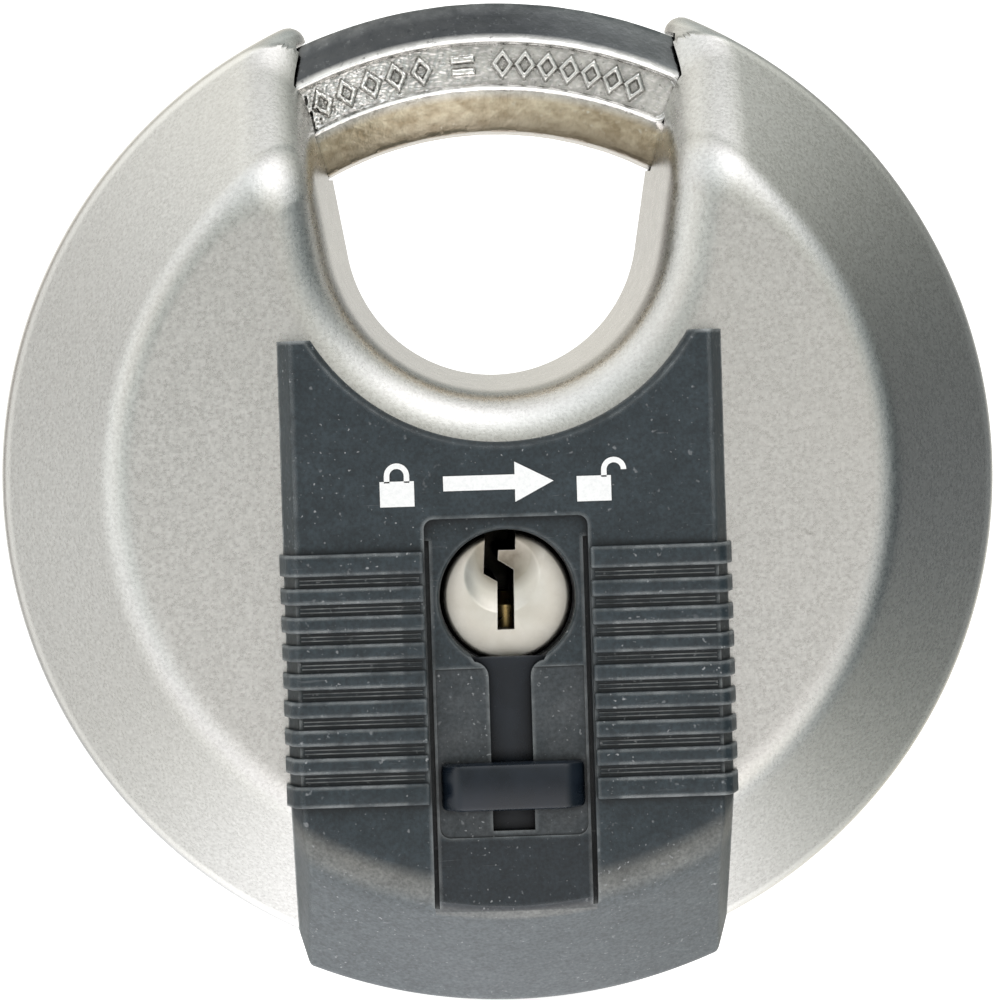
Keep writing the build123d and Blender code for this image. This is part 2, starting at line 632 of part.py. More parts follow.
def plate_screws(places, facing, make):
    """Screws, or the holes for them, in one guard plate."""
    z_face = facing * (PLATE_Z1 - SCREW_SINK)
    return [make(x, y, z_face, facing, *PLATE_SCREW, PLATE_SCREW_L) for x, y in places]


def front_guard_plate():
    plate = plate_blank() - cylinder(0, PLUG_Y, PLUG_NOSE_R + 0.12, *PLATE_CUT)
    return one(cut(plate, *plate_screws(FRONT_SCREWS, 1, screw_hole)))


def rear_guard_plate():
    plate = mirror_z(one(plate_blank()))
    return one(cut(plate, *plate_screws(POSTS, -1, screw_hole)))


def shackle_guide():
    """Right-hand block round the shackle, filling the shell's inside."""
    front = half_body(-SHELL_T - GUIDE_CL)
    blank = front + mirror_z(front)
    wedge = ring(rect(*GUIDE_R, -15, 15), *GUIDE_A)
    return one((blank & wedge) - ring(octagon(GUIDE_CL), 20, 60))


# --------------------------------------------------------------------- write
os.makedirs("parts", exist_ok=True)

write("front_shell", shell_half(True))
write("rear_shell", mirror_z(shell_half(False)))
write("front_cover", cover(True))
write("rear_cover", mirror_z(cover(False)))
write_group("front_cover_studs", cover_studs())
write_group("rear_cover_studs", [mirror_z(stud) for stud in cover_studs()])
write("shutter_plate", shutter_plate())
write("shutter_grip", shutter_grip())
write("cylinder_housing", cylinder_housing())
write("plug", lock_plug())
for i, (z, length) in enumerate(zip(CHAMBER_Z, KEY_PIN_L), start=1):
    write(f"key_pin_{i}", key_pin(z, length))
    write(f"driver_pin_{i}", driver_pin(z))
    write(f"pin_spring_{i}", pin_spring(z))
write_group("chamber_plugs", [y_cylinder(z, CHAMBER_R - 0.02, BIBLE_Y, CHAMBER_PLUG_Y)
                              for z in CHAMBER_Z])
write("thrust_washer", thrust_washer())
write("drive_cam", drive_cam())
write("crank_pin", crank_pin())
write("cam_screw", screw(0, PLUG_Y, CAM_Z0, -1, *CAM_SCREW, CAM_SCREW_L))
write("shackle", shackle())
write("shackle_arm", shackle_arm())
write_group("shackle_rivets", shackle_rivets())
write("core_block", core_block())
write("front_guard_plate", front_guard_plate())
write("rear_guard_plate", rear_guard_plate())
write_group("front_plate_screws", plate_screws(FRONT_SCREWS, 1, screw))
write_group("rear_plate_screws", plate_screws(POSTS, -1, screw))
right_guide = shackle_guide()
write("left_shackle_guide", right_guide.mirror(Plane.YZ))
write("right_shackle_guide", right_guide)
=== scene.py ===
"""A round padlock standing on its edge on a pale floor.

A hollow steel case in two halves is cut open at the top, and a curved eight-sided shackle
crosses the opening. A plastic cover lies over the case in a vertical strip, front and rear.
The front carries the plug and, below it, a sliding shutter.

Shapes are drawn in the bench frame: millimetres, x right, y up, z towards the front, with
the disc's axis on z and the seam at z = 0. Blender gets metres, z up, with the front on -y.
"""
import bpy
import bmesh
import json
import math
import numpy as np
from mathutils import Matrix, Vector


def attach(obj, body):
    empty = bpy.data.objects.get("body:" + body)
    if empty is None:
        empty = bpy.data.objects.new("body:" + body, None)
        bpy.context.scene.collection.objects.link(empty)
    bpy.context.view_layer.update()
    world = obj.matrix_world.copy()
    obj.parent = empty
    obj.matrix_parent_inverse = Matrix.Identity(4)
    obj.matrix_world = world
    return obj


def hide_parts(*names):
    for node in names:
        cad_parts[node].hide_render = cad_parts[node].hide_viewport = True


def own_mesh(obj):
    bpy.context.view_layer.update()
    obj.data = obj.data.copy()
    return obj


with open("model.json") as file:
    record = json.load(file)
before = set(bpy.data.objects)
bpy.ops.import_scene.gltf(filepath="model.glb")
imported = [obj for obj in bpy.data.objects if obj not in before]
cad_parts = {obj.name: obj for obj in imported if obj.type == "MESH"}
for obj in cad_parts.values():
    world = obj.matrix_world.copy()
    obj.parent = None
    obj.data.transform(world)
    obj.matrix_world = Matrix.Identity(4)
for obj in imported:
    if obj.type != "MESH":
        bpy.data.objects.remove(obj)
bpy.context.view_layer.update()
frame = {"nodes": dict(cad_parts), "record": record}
NODES = frame["nodes"]
SLOTS = {part["node"]: part["material_slot"] for part in frame["record"]["subparts"]}

# ---------------------------------------------------------------- shared sizes
NOTCH_R, NOTCH_Y = 10.25, 17.45  # round bottom of the case's opening
FLARE = math.radians(9.5)        # each straight side leans outwards by this
TANGENT_X = NOTCH_R * math.cos(FLARE)
TANGENT_Y = NOTCH_Y - NOTCH_R * math.sin(FLARE)
SLOPE = math.radians(13)         # sets offset distances and the roll-over into the face
WALL_SLOPE = math.radians(7)     # slope of the opening's wall itself
PLUG_Y = -7.9
PIN_ROW = (7.6, 4.0, 0.4, -3.2)  # z of each key pin
SHACKLE_R = 28.7                 # middle of the bar
SHACKLE_HALF = 9.03 / 2          # half its width across flats

# (r, z) of a turned half body: rim in the seam, rim's shoulder, edge of the face
STEEL = ((35.0, 0.0), (34.6, 3.4), (26.25, 12.6))
STEEL_GROWTH = ((1.0068, 0.0), (0.9557, 0.4349), (0.4429, 1.0))  # move per mm of offset
COVER = ((37.0, 0.0), (36.55, 3.9), (28.35, 15.0))


# -------------------------------------------------------------------- mesh kit
def to_world(points):
    """Bench millimetres to Blender metres."""
    p = np.asarray(points, float)
    return np.stack([p[..., 0], -p[..., 2], p[..., 1]], -1) * 0.001


def shade_smooth(ob, sharp):
    """Smooth shading with creases above `sharp` degrees."""
    mesh = ob.data
    mesh.polygons.foreach_set("use_smooth", [True] * len(mesh.polygons))
    mesh.set_sharp_from_angle(angle=math.radians(sharp))
    mesh.update()


def link_object(name, mesh):
    ob = bpy.data.objects.new(name, mesh)
    bpy.context.scene.collection.objects.link(ob)
    return ob


def make_object(name, verts, faces, material=None, sharp=40.0, weld=1e-6, bench=True):
    """Mesh object from bench millimetres, or from metres when bench is False."""
    mesh = bpy.data.meshes.new(name)
    points = to_world(verts) if bench else np.asarray(verts, float)
    mesh.from_pydata([tuple(p) for p in points], [], [tuple(f) for f in faces])
    bm = bmesh.new()
    bm.from_mesh(mesh)
    if weld:
        bmesh.ops.remove_doubles(bm, verts=bm.verts, dist=weld)
        bmesh.ops.dissolve_degenerate(bm, dist=weld, edges=bm.edges)
    bmesh.ops.recalc_face_normals(bm, faces=bm.faces)
    bm.to_mesh(mesh)
    bm.free()
    ob = link_object(name, mesh)
    if material:
        mesh.materials.append(material)
    shade_smooth(ob, sharp)
    return ob


def grid_faces(rows, cols, base=0, flip=False):
    faces = []
    for i in range(rows - 1):
        for j in range(cols - 1):
            a = base + i * cols + j
            quad = (a, a + 1, a + cols + 1, a + cols)
            faces.append(quad[::-1] if flip else quad)
    return faces


def skin_faces(rows, outer_cols, inner_cols):
    """Outer and inner grids, joined along their first and last columns."""
    base = rows * outer_cols
    faces = grid_faces(rows, outer_cols) + grid_faces(rows, inner_cols, base, flip=True)
    for i in range(rows - 1):
        a, b = i * outer_cols, base + i * inner_cols
        faces.append((a, a + outer_cols, b + inner_cols, b))
        a, b = a + outer_cols - 1, b + inner_cols - 1
        faces.append((a, b, b + inner_cols, a + outer_cols))
    return faces


def tube_faces(rings, count):
    """Sides and end caps of a bar made of rings with `count` points each."""
    sides = []
    for i in range(rings - 1):
        for k in range(count):
            a, b = i * count + k, i * count + (k + 1) % count
            sides.append((a, b, b + count, a + count))
    last = (rings - 1) * count
    return sides, [tuple(range(count)), tuple(range(last, last + count))[::-1]]


def remove_object(ob):
    mesh = ob.data
    bpy.data.objects.remove(ob)
    if mesh.users == 0:
        bpy.data.meshes.remove(mesh)


def boolean(ob, cutter, operation="DIFFERENCE"):
    """Apply a boolean and remove the cutter."""
    # a solver may return nothing or leave the mesh as it was; the second one is the reserve
    for solver in ("MANIFOLD", "EXACT"):
        modifier = ob.modifiers.new("boolean", "BOOLEAN")
        modifier.operation = operation
        modifier.object = cutter
        modifier.solver = solver
        bpy.context.view_layer.update()
        graph = bpy.context.evaluated_depsgraph_get()
        mesh = bpy.data.meshes.new_from_object(ob.evaluated_get(graph), depsgraph=graph)
        ob.modifiers.clear()
        if len(mesh.polygons) not in (0, len(ob.data.polygons)):
            old = ob.data
            materials = list(old.materials)
            ob.data = mesh
            mesh.name = ob.name
            bpy.data.meshes.remove(old)
            if not mesh.materials:
                for material in materials:
                    mesh.materials.append(material)
            break
    remove_object(cutter)


def join(objects, name="cutter"):
    """One object from several, keeping every mesh as it is."""
    bm = bmesh.new()
    for ob in objects:
        bm.from_mesh(ob.data)
    mesh = bpy.data.meshes.new(name)
    bm.to_mesh(mesh)
    bm.free()
    joined = link_object(name, mesh)
    for material in objects[0].data.materials:
        mesh.materials.append(material)
    for ob in objects:
        remove_object(ob)
    return joined


def prism(outline, low, high, axis="z", name="cutter", material=None,
          bevel=0.0, segments=3, pick=None):
    """Extrude an outline: (x, y) along z, (x, z) along y or (y, z) along x.

    pick(point) chooses the edges to bevel by their middle point.
    """
    place = {"z": lambda a, b, h: (a, b, h),
             "y": lambda a, b, h: (a, h, b),
             "x": lambda a, b, h: (h, a, b)}[axis]
    n = len(outline)
    verts = [place(a, b, h) for h in (low, high) for a, b in outline]
    faces = [tuple(range(n))[::-1], tuple(range(n, 2 * n))]
    for i in range(n):
        j = (i + 1) % n
        faces.append((i, j, n + j, n + i))
    ob = make_object(name, verts, faces, material, sharp=30)
    if bevel > 0:
        bm = bmesh.new()
        bm.from_mesh(ob.data)
        edges = []
        for e in bm.edges:
            if len(e.link_faces) == 2 and e.calc_face_angle(0) > math.radians(20):
                middle = (e.verts[0].co + e.verts[1].co) * 500  # half the sum, in mm
                if pick is None or pick((middle.x, middle.z, -middle.y)):
                    edges.append(e)
        bmesh.ops.bevel(bm, geom=edges, offset=bevel * 0.001, segments=segments,
                        profile=0.5, affect="EDGES", clamp_overlap=True)
        bm.to_mesh(ob.data)
        bm.free()
        shade_smooth(ob, 30)
    return ob


def block(x, y, z, **options):
    """Box from (low, high) pairs."""
    outline = [(x[0], y[0]), (x[1], y[0]), (x[1], y[1]), (x[0], y[1])]
    return prism(outline, *z, **options)


def both_sides(near, far):
    """x range on the left, then its mirror on the right."""
    return (-far, -near), (near, far)


def lathe(outline, centre, segments, axis="z", name="cutter", material=None):
    """Turn (r, h) about z through (x, y) = centre, or about y through (x, z) = centre."""
    cx, cy = centre
    verts, rings = [], []
    for r, h in outline:
        count = 1 if r < 1e-9 else segments
        first = len(verts)
        for k in range(count):
            t = 2 * math.pi * k / segments
            a, b = (cx, cy) if count == 1 else (cx + r * math.cos(t), cy + r * math.sin(t))
            verts.append((a, b, h) if axis == "z" else (a, h, b))
        rings.append([first + k % count for k in range(segments)])
    faces = []
    for ring, following in zip(rings, rings[1:]):
        for k in range(segments):
            j = (k + 1) % segments
            corners = tuple(dict.fromkeys((ring[k], ring[j], following[j], following[k])))
            if len(corners) > 2:
                faces.append(corners)
    return make_object(name, verts, faces, material, sharp=35)


def rod(radius, low, high, centre, segments, axis="z"):
    outline = [(0, low), (radius, low), (radius, high), (0, high)]
    return lathe(outline, centre, segments, axis)


def arc(cx, cy, r, start, end, steps):
    """Points on an arc, angles in degrees."""
    angles = [math.radians(start + (end - start) * k / steps) for k in range(steps + 1)]
    return [(cx + r * math.cos(t), cy + r * math.sin(t)) for t in angles]


# -------------------------------------------------------------- distance fields
def smooth01(t):
    t = np.clip(t, 0, 1)
    return t * t * (3 - 2 * t)


def bisect(passes, low, high, steps):
    """Narrow the bracket where passes() turns from true (low) to false (high)."""
    for _ in range(steps):
        middle = (low + high) / 2
        passed = passes(middle)
        low, high = np.where(passed, middle, low), np.where(passed, high, middle)
    return low, high


def round_meet(a0, b0, cosine, radius):
    """Intersection of two half spaces with a rounded edge; cosine is between their normals."""
    a, b = a0 + radius, b0 + radius
    square = (a * a + b * b - 2 * a * b * cosine) / np.maximum(1 - cosine * cosine, 1e-6)
    rounded = np.sqrt(np.maximum(0, square)) - radius
    corner = (a > cosine * b) & (b > cosine * a) & ((a > 0) | (b > 0))
    return np.where(corner, rounded, np.maximum(a0, b0))


def turned_field(r, z, points, shoulder_r, face_r):
    """Signed distance to a turned half body: rim wall, cone and flat face."""
    def side(start, end):
        dr, dz = end[0] - start[0], end[1] - start[1]
        length = math.hypot(dr, dz)
        nr, nz = dz / length, -dr / length
        return (r - start[0]) * nr + (z - start[1]) * nz, nr, nz

    rim, rim_nr, rim_nz = side(points[0], points[1])
    cone, cone_nr, cone_nz = side(points[1], points[2])
    walls = round_meet(rim, cone, rim_nr * cone_nr + rim_nz * cone_nz, shoulder_r)
    return round_meet(walls, z - points[2][1], cone_nz, face_r)


def offset_steel(offset):
    return tuple((r + dr * offset, z + dz * offset)
                 for (r, z), (dr, dz) in zip(STEEL, STEEL_GROWTH))


def notch_distance(x, y, offset):
    """Distance into the metal from the opening's outline in the seam, and its direction."""
    side_x = np.abs(x)
    across, rise = math.cos(FLARE), math.sin(FLARE)
    along = (side_x - TANGENT_X) * rise + (y - TANGENT_Y) * across
    straight = (side_x - TANGENT_X) * across - (y - TANGENT_Y) * rise
    rho = np.maximum(np.hypot(x, y - NOTCH_Y), 1e-9)
    beside = along > 0
    distance = np.where(beside, straight, rho - NOTCH_R) - offset
    dir_x = np.where(beside, np.sign(x) * across, x / rho)
    dir_y = np.where(beside, -rise, (y - NOTCH_Y) / rho)
    return distance, dir_x, dir_y


def shell_field(x, y, z, offset, lips, shoulder_r, face_r):
    """Half shell with the opening cut out; lips are the edge radii at the seam and above."""
    soft = 3.6        # extra face radius beside the opening, and its reach
    lip_height = 5.0  # the edge radius is full from here up
    step = 0.02       # for the slopes
    points = offset_steel(offset)
    r = np.maximum(np.hypot(x, y), 1e-9)
    s, dir_x, dir_y = notch_distance(x, y, -offset / math.cos(SLOPE))
    inset = s - z * math.tan(SLOPE)
    face_r = face_r + soft * np.exp(-(np.maximum(inset, 0) / soft) ** 2)
    body = turned_field(r, z, points, shoulder_r, face_r)
    slope_r = (turned_field(r + step, z, points, shoulder_r, face_r) - body) / step
    slope_z = (turned_field(r, z + step, points, shoulder_r, face_r) - body) / step
    wall = (z * math.tan(WALL_SLOPE) - s) * math.cos(WALL_SLOPE)
    cosine = (-math.cos(WALL_SLOPE) * (dir_x * x + dir_y * y) / r * slope_r
              + math.sin(WALL_SLOPE) * slope_z)
    lip = lips[0] + (lips[1] - lips[0]) * smooth01(z / lip_height)
    return round_meet(wall, body, np.clip(cosine, -0.97, 0.97), lip)


def solve_z(field, x, y, top):
    """Height of the field's surface over each (x, y), 0 outside it."""
    seam = np.zeros_like(x)
    outside = field(x, y, seam) > 0
    low, _ = bisect(lambda z: field(x, y, z) <= 0, seam, np.full_like(x, top), 34)
    return np.where(outside, 0.0, low)


# ----------------------------------------------------------------- case shells
def resample(points, count):
    p = np.asarray(points, float)
    d = np.r_[0, np.cumsum(np.hypot(*np.diff(p, axis=0).T))]
    t = np.linspace(0, 1, count) * d[-1]
    return np.stack([np.interp(t, d, p[:, 0]), np.interp(t, d, p[:, 1])], 1)


def shell_outline(field, offset, depth, count):
    """Notch side and rim side of the C in the seam, right half, from bottom to horn tip."""
    rim = offset_steel(offset)[0][0]
    shift = -offset / math.cos(SLOPE)
    # centre of the horn's tip, `depth` from both walls
    y = np.linspace(TANGENT_Y, 40, 4000)
    x = TANGENT_X + (y - TANGENT_Y) * math.tan(FLARE) + (shift + depth) / math.cos(FLARE)
    k = int(np.argmin(np.abs(np.hypot(x, y) - (rim - depth))))
    centre = np.array([x[k], y[k]])
    normal = np.array([math.cos(FLARE), -math.sin(FLARE)])
    foot = centre - normal * depth

    radius = NOTCH_R + shift
    notch = [(radius * math.sin(t), NOTCH_Y - radius * math.cos(t))
             for t in np.linspace(0, math.pi / 2 - FLARE, 90)]
    xt, yt = notch[-1]
    notch += [(xt + (foot[0] - xt) * t, yt + (foot[1] - yt) * t)
              for t in np.linspace(0, 1, 90)[1:]]
    tip_angle = math.atan2(centre[0], centre[1])
    outer = [(rim * math.sin(t), rim * math.cos(t))
             for t in np.linspace(math.pi, tip_angle, 300)]

    # rays round the tip, from the notch's side to the rim's side
    first = math.atan2(-normal[1], -normal[0])
    last = math.atan2(centre[1], centre[0])
    fan = []
    for t in np.linspace(first, last, 60)[1:-1]:
        ray = np.array([math.cos(t), math.sin(t)])
        reach, _ = bisect(
            lambda m: field(centre[0] + ray[0] * m, centre[1] + ray[1] * m,
                            np.array([0.0])) <= 0,
            np.array([0.0]), 3 * depth + 2, 40)
        fan.append(centre + ray * reach)
    half = len(fan) // 2
    inner = resample(notch + fan[:half + 1], count)
    outer = resample(outer + fan[half:][::-1], count)
    outer[-1] = inner[-1]
    return inner, outer


def shell_surface(offset, lips, shoulder_r, face_r, depth, columns, top):
    """Grid from the notch to the rim; columns are the counts beside the notch, between
    and beside the rim."""
    def field(x, y, z):
        return shell_field(x, y, z, offset, lips, shoulder_r, face_r)

    inner, outer = [np.vstack([line[::-1] * [-1, 1], line[1:]])
                    for line in shell_outline(field, offset, depth, count=230)]
    length = np.maximum(np.hypot(*(outer - inner).T), 1e-9)
    # shares of each row given to the finer bands at its two ends
    near = (np.minimum(6.0, 0.4 * length) / length)[:, None]
    far = (np.minimum(1.3, 0.13 * length) / length)[:, None]
    near_steps = np.linspace(0, 1, columns[0] + 1) ** 1.15
    middle_steps = np.linspace(0, 1, columns[1] + 1)[1:]
    far_steps = 1 - (1 - np.linspace(0, 1, columns[2] + 1)[1:]) ** 1.3
    share = np.hstack([near * near_steps, near + (1 - near - far) * middle_steps,
                       (1 - far) + far * far_steps])
    plan = inner[:, None, :] + (outer - inner)[:, None, :] * share[:, :, None]
    z = solve_z(field, plan[..., 0], plan[..., 1], top)
    z[:, 0] = 0
    z[:, -1] = 0
    return np.dstack([plan, z])


def octagon(half):
    """Counter-clockwise (x, z) corners, from the left end of the lower flat."""
    c = half * math.tan(math.radians(22.5))
    return [(-c, -half), (c, -half), (half, -c), (half, c),
            (c, half), (-c, half), (-half, c), (-half, -c)]


def shackle_channel(start, end):
    """Cutter for the bar's path, angles in degrees from the top."""
    clearance, step = 0.25, 0.8
    n = int((end - start) / step)
    section = octagon(SHACKLE_HALF + clearance)
    verts = []
    for i in range(n + 1):
        t = math.radians(start + (end - start) * i / n)
        for x, z in section:
            verts.append(((SHACKLE_R + x) * math.sin(t), (SHACKLE_R + x) * math.cos(t), z))
    sides, caps = tube_faces(n + 1, 8)
    return make_object("cutter", verts, caps + sides)


def build_shell(name, front, material):
    outer = shell_surface(offset=0.0, lips=(1.25, 3.9), shoulder_r=1.2, face_r=2.8,
                          depth=1.3, columns=(46, 56, 14), top=12.7)
    inner = shell_surface(offset=-1.4, lips=(0.3, 2.4), shoulder_r=0.4, face_r=1.4,
                          depth=0.8, columns=(12, 20, 5), top=11.3)
    verts = np.vstack([outer.reshape(-1, 3), inner.reshape(-1, 3)])
    if not front:
        verts = verts * [1, 1, -1]
    # a hair of clearance between the two seam faces
    verts[:, 2] += np.where(np.abs(verts[:, 2]) < 1e-9, 0.004 if front else -0.004, 0)
    faces = skin_faces(outer.shape[0], outer.shape[1], inner.shape[1])
    ob = make_object(name, verts, faces, material, sharp=38, weld=2e-6)
    cutters = [shackle_channel(17.0, 52.0), shackle_channel(-52.0, -17.0)]
    if front:
        cutters.append(rod(4.55, 10, 14, (0, PLUG_Y), 96))  # plug's hole
    boolean(ob, join(cutters))
    shade_smooth(ob, 38)
    return ob


# --------------------------------------------------------------------- shackle
PANEL_START, PANEL_END = -27.8, 26.2  # sunk panel on the front flat, degrees
# degrees from the top, of the diamond outlines in the panel
DIAMONDS = (-23.6, -20.0, -16.4, -12.8, -9.2, 2.1, 5.2, 8.3, 11.4, 14.5, 17.6, 20.7)
DASH_ANGLE, DASH_RADII = -3.4, (28.28, 29.12)
TIP_ANGLE = -43.5
TIP_ROUND = 0.6


def box_distance(px, py, hx, hy, r):
    qx, qy = np.abs(px) - hx + r, np.abs(py) - hy + r
    outside = np.hypot(np.maximum(qx, 0), np.maximum(qy, 0))
    return outside + np.minimum(np.maximum(qx, qy), 0) - r


def wave_noise(x, y, seed, waves, low, high):
    """A smooth, seeded ripple of sine waves with low to high cycles per mm."""
    rng = np.random.default_rng(seed)
    out = np.zeros_like(x)
    for _ in range(waves):
        a = rng.uniform(0, 2 * math.pi)
        f = rng.uniform(low, high) * 2 * math.pi
        out += np.sin((x * math.cos(a) + y * math.sin(a)) * f + rng.uniform(0, 6.3))
    return out / math.sqrt(waves)


def arc_length(degrees):
    return np.radians(degrees) * SHACKLE_R


def panel_height(r, angle):
    """Relief over the front flat."""
    depth = 0.30
    s = arc_length(angle)
    middle = arc_length((PANEL_START + PANEL_END) / 2)
    half = arc_length(PANEL_END - PANEL_START) / 2
    edge = box_distance(s - middle, r - SHACKLE_R, half, 1.46, 0.7)
    height = -depth * smooth01(0.5 - edge / 0.22)
    height += 0.09 * np.exp(-((edge - 0.24) / 0.15) ** 2)  # soft bead round the panel
    # distance to the raised marks: diamond outlines and one pair of dashes
    marks = np.full_like(r, 9.0)
    for mark in DIAMONDS:
        u, w = s - arc_length(mark), r - 28.72
        diamond = (np.abs(u) / 0.80 + np.abs(w) / 1.08 - 1) * 0.64
        marks = np.minimum(marks, np.abs(diamond + 0.17) - 0.19)
    for dash_r in DASH_RADII:
        dash = box_distance(s - arc_length(DASH_ANGLE), r - dash_r, 0.85, 0.27, 0.1)
        marks = np.minimum(marks, dash)
    u = np.clip(1 + marks / 0.2, 0, 1.25)
    dome = np.sqrt(np.maximum(1 - np.minimum(u, 1) ** 2, 0))
    height += depth * dome * (marks < 0) * (edge < -0.1)
    # cast ripple, stronger towards the left
    inside = smooth01(-edge / 0.3)
    left = smooth01((6 - angle) / 30)
    ripple = wave_noise(s, r, seed=3, waves=16, low=1.2, high=3.4)
    height += inside * (0.008 + 0.042 * left) * ripple
    return height


def build_shackle(material):
    mean_r = 4.6  # the bar's own radius, for arc lengths round it
    angles = np.r_[np.arange(TIP_ANGLE, 27.0, 0.135), np.arange(27.0, 69.0, 1.4), 69.0]
    # section from the front flat's inner edge, round the outside
    ring = octagon(SHACKLE_HALF)
    corners = np.array(ring[4::-1] + ring[:4:-1])
    flat = np.linspace(-corners[0][0], corners[0][0], 58)
    section = [(x, SHACKLE_HALF) for x in flat]
    for a, b in zip(corners, corners[1:]):
        section += [a + (b - a) * t for t in np.linspace(0, 1, 9)[1:]]
    sx, sz = np.array(section[:-1]).T
    count = len(sx)
    on_front = (np.arange(count) < len(flat))[None, :]
    # soften the eight long edges
    around = np.unwrap(np.arctan2(sz, sx))[None, :] * mean_r
    radius = np.hypot(sx, sz)
    limit = SHACKLE_HALF / math.cos(math.radians(22.5)) * 0.985
    pull = np.where(radius > limit, (limit + (radius - limit) * 0.25) / radius, 1.0)
    angle, x = np.meshgrid(angles, sx * pull, indexing="ij")
    z = np.repeat((sz * pull)[None, :], len(angles), 0)
    z = z + np.where(on_front, panel_height(SHACKLE_R + x, angle), 0)
    # cast waviness on the other faces
    waviness = 0.007 * wave_noise(arc_length(angle), around, seed=11, waves=14,
                                  low=0.25, high=1.1)
    swell = 1 + np.where(on_front, 0, waviness) / np.hypot(x, z)
    # the tip is eased
    ease = np.clip((angles - TIP_ANGLE) * 0.5, 0, TIP_ROUND)
    drop = TIP_ROUND - np.sqrt(np.maximum(TIP_ROUND ** 2 - (TIP_ROUND - ease) ** 2, 0))
    scale = (1 - drop / mean_r)[:, None]
    x, z = x * swell * scale, z * swell * scale
    t = np.radians(angle)
    verts = np.dstack([(SHACKLE_R + x) * np.sin(t), (SHACKLE_R + x) * np.cos(t), z])
    sides, caps = tube_faces(len(angles), count)
    return make_object("shackle_bar", verts.reshape(-1, 3), sides + caps, material, sharp=32)


# ----------------------------------------------------------------------- cover
COVER_HALF = 15.0       # half width where it meets the steel
COVER_EDGE = 13.7       # the columns are closer outside this x
COVER_TOP = 10.6        # height of the uncut blank
SIDE_TAPER = 0.375      # inward lean of the sides per mm above the steel
SIDE_SCALE = 0.936      # turns the tapered x into a distance
SEAT_GAP = 0.02
CHANNEL_HALF = 5.5      # channel down the middle of the front
RIB_SPAN = 16.95        # height of the rib stack
RIB_COUNT, RIB_WIDTH, END_RIB_WIDTH = 9, 1.09, 1.45


def cover_field(x, y, z):
    r = np.maximum(np.hypot(x, y), 1e-9)
    body = turned_field(r, z, COVER, 1.6, 5.0)
    lift = np.maximum(turned_field(r, z, STEEL, 0.01, 0.01), 0)
    side = (np.abs(x) - COVER_HALF + SIDE_TAPER * (lift - SEAT_GAP)) * SIDE_SCALE
    return round_meet(side, body, 0.35, 0.28)


def seat_field(x, y, z):
    r = np.maximum(np.hypot(x, y), 1e-9)
    return turned_field(r, z, offset_steel(SEAT_GAP), 0.01, 0.01)


def cover_blank(name, material):
    """Curved strip lying on the steel, before its details."""
    xs = np.unique(np.round(np.r_[np.linspace(-COVER_HALF, -COVER_EDGE, 15),
                                  np.linspace(-COVER_EDGE, COVER_EDGE, 64),
                                  np.linspace(COVER_EDGE, COVER_HALF, 15)], 5))
    # lowest point of each column in the seam
    _, bottom = bisect(lambda y: cover_field(xs, y, np.zeros_like(xs)) > 0,
                       np.full_like(xs, -40.0), np.full_like(xs, -20.0), 50)
    seat_bottom = np.maximum(-np.sqrt((STEEL[0][0] + SEAT_GAP) ** 2 - xs ** 2), bottom)
    # shares of each column, closer together towards the bottom
    share = np.r_[np.linspace(0, 0.42, 30), np.linspace(0.42, 0.94, 92)[1:],
                  (1 - 0.06 * (1 - np.linspace(0, 1, 30)) ** 1.5)[1:]]
    rows, cols = len(xs), len(share)
    x = np.repeat(xs[:, None], cols, 1)
    skins = []
    for field, end, top in ((cover_field, bottom, 15.2), (seat_field, seat_bottom, 13.0)):
        y = COVER_TOP + (end[:, None] - COVER_TOP) * share[None, :]
        z = solve_z(field, x, y, top)
        z[:, -1] = 0
        skins.append(np.dstack([x, y, z]).reshape(-1, 3))
    base = rows * cols
    faces = skin_faces(rows, cols, cols)
    for j in range(cols - 1):
        faces.append((j, j + 1, base + j + 1, base + j))
        k = (rows - 1) * cols + j
        faces.append((k, base + k, base + k + 1, k + 1))
    return make_object(name, np.vstack(skins), faces, material, sharp=35, weld=4e-6)


def trim_top(cover):
    """Short level shoulders and a concave arc with a small lead."""
    boolean(cover, block((-20, 20), (9.75, 14), (-2, 20)))
    outline = [(0, -2), (14.86, -2), (14.86, 14.55), (14.93, 14.75), (15.25, 15.02),
               (15.25, 18), (0, 18)]
    boolean(cover, lathe(outline, (0, NOTCH_Y), 192))


def add_pads(cover):
    """Flat ground under the ribs, beside the channel."""
    pads = [block(x, (-21.0, -5.1), (14.4, 15.2)) for x in both_sides(5.6, 14.2)]
    boolean(cover, join(pads), "UNION")


def on_open_edge(point):
    """True for rib edges that stand clear of the cover."""
    x, _, z = point
    return z > 13.2 and abs(x) < 15.3 and not (abs(x) < 13.95 and z < 14.0)


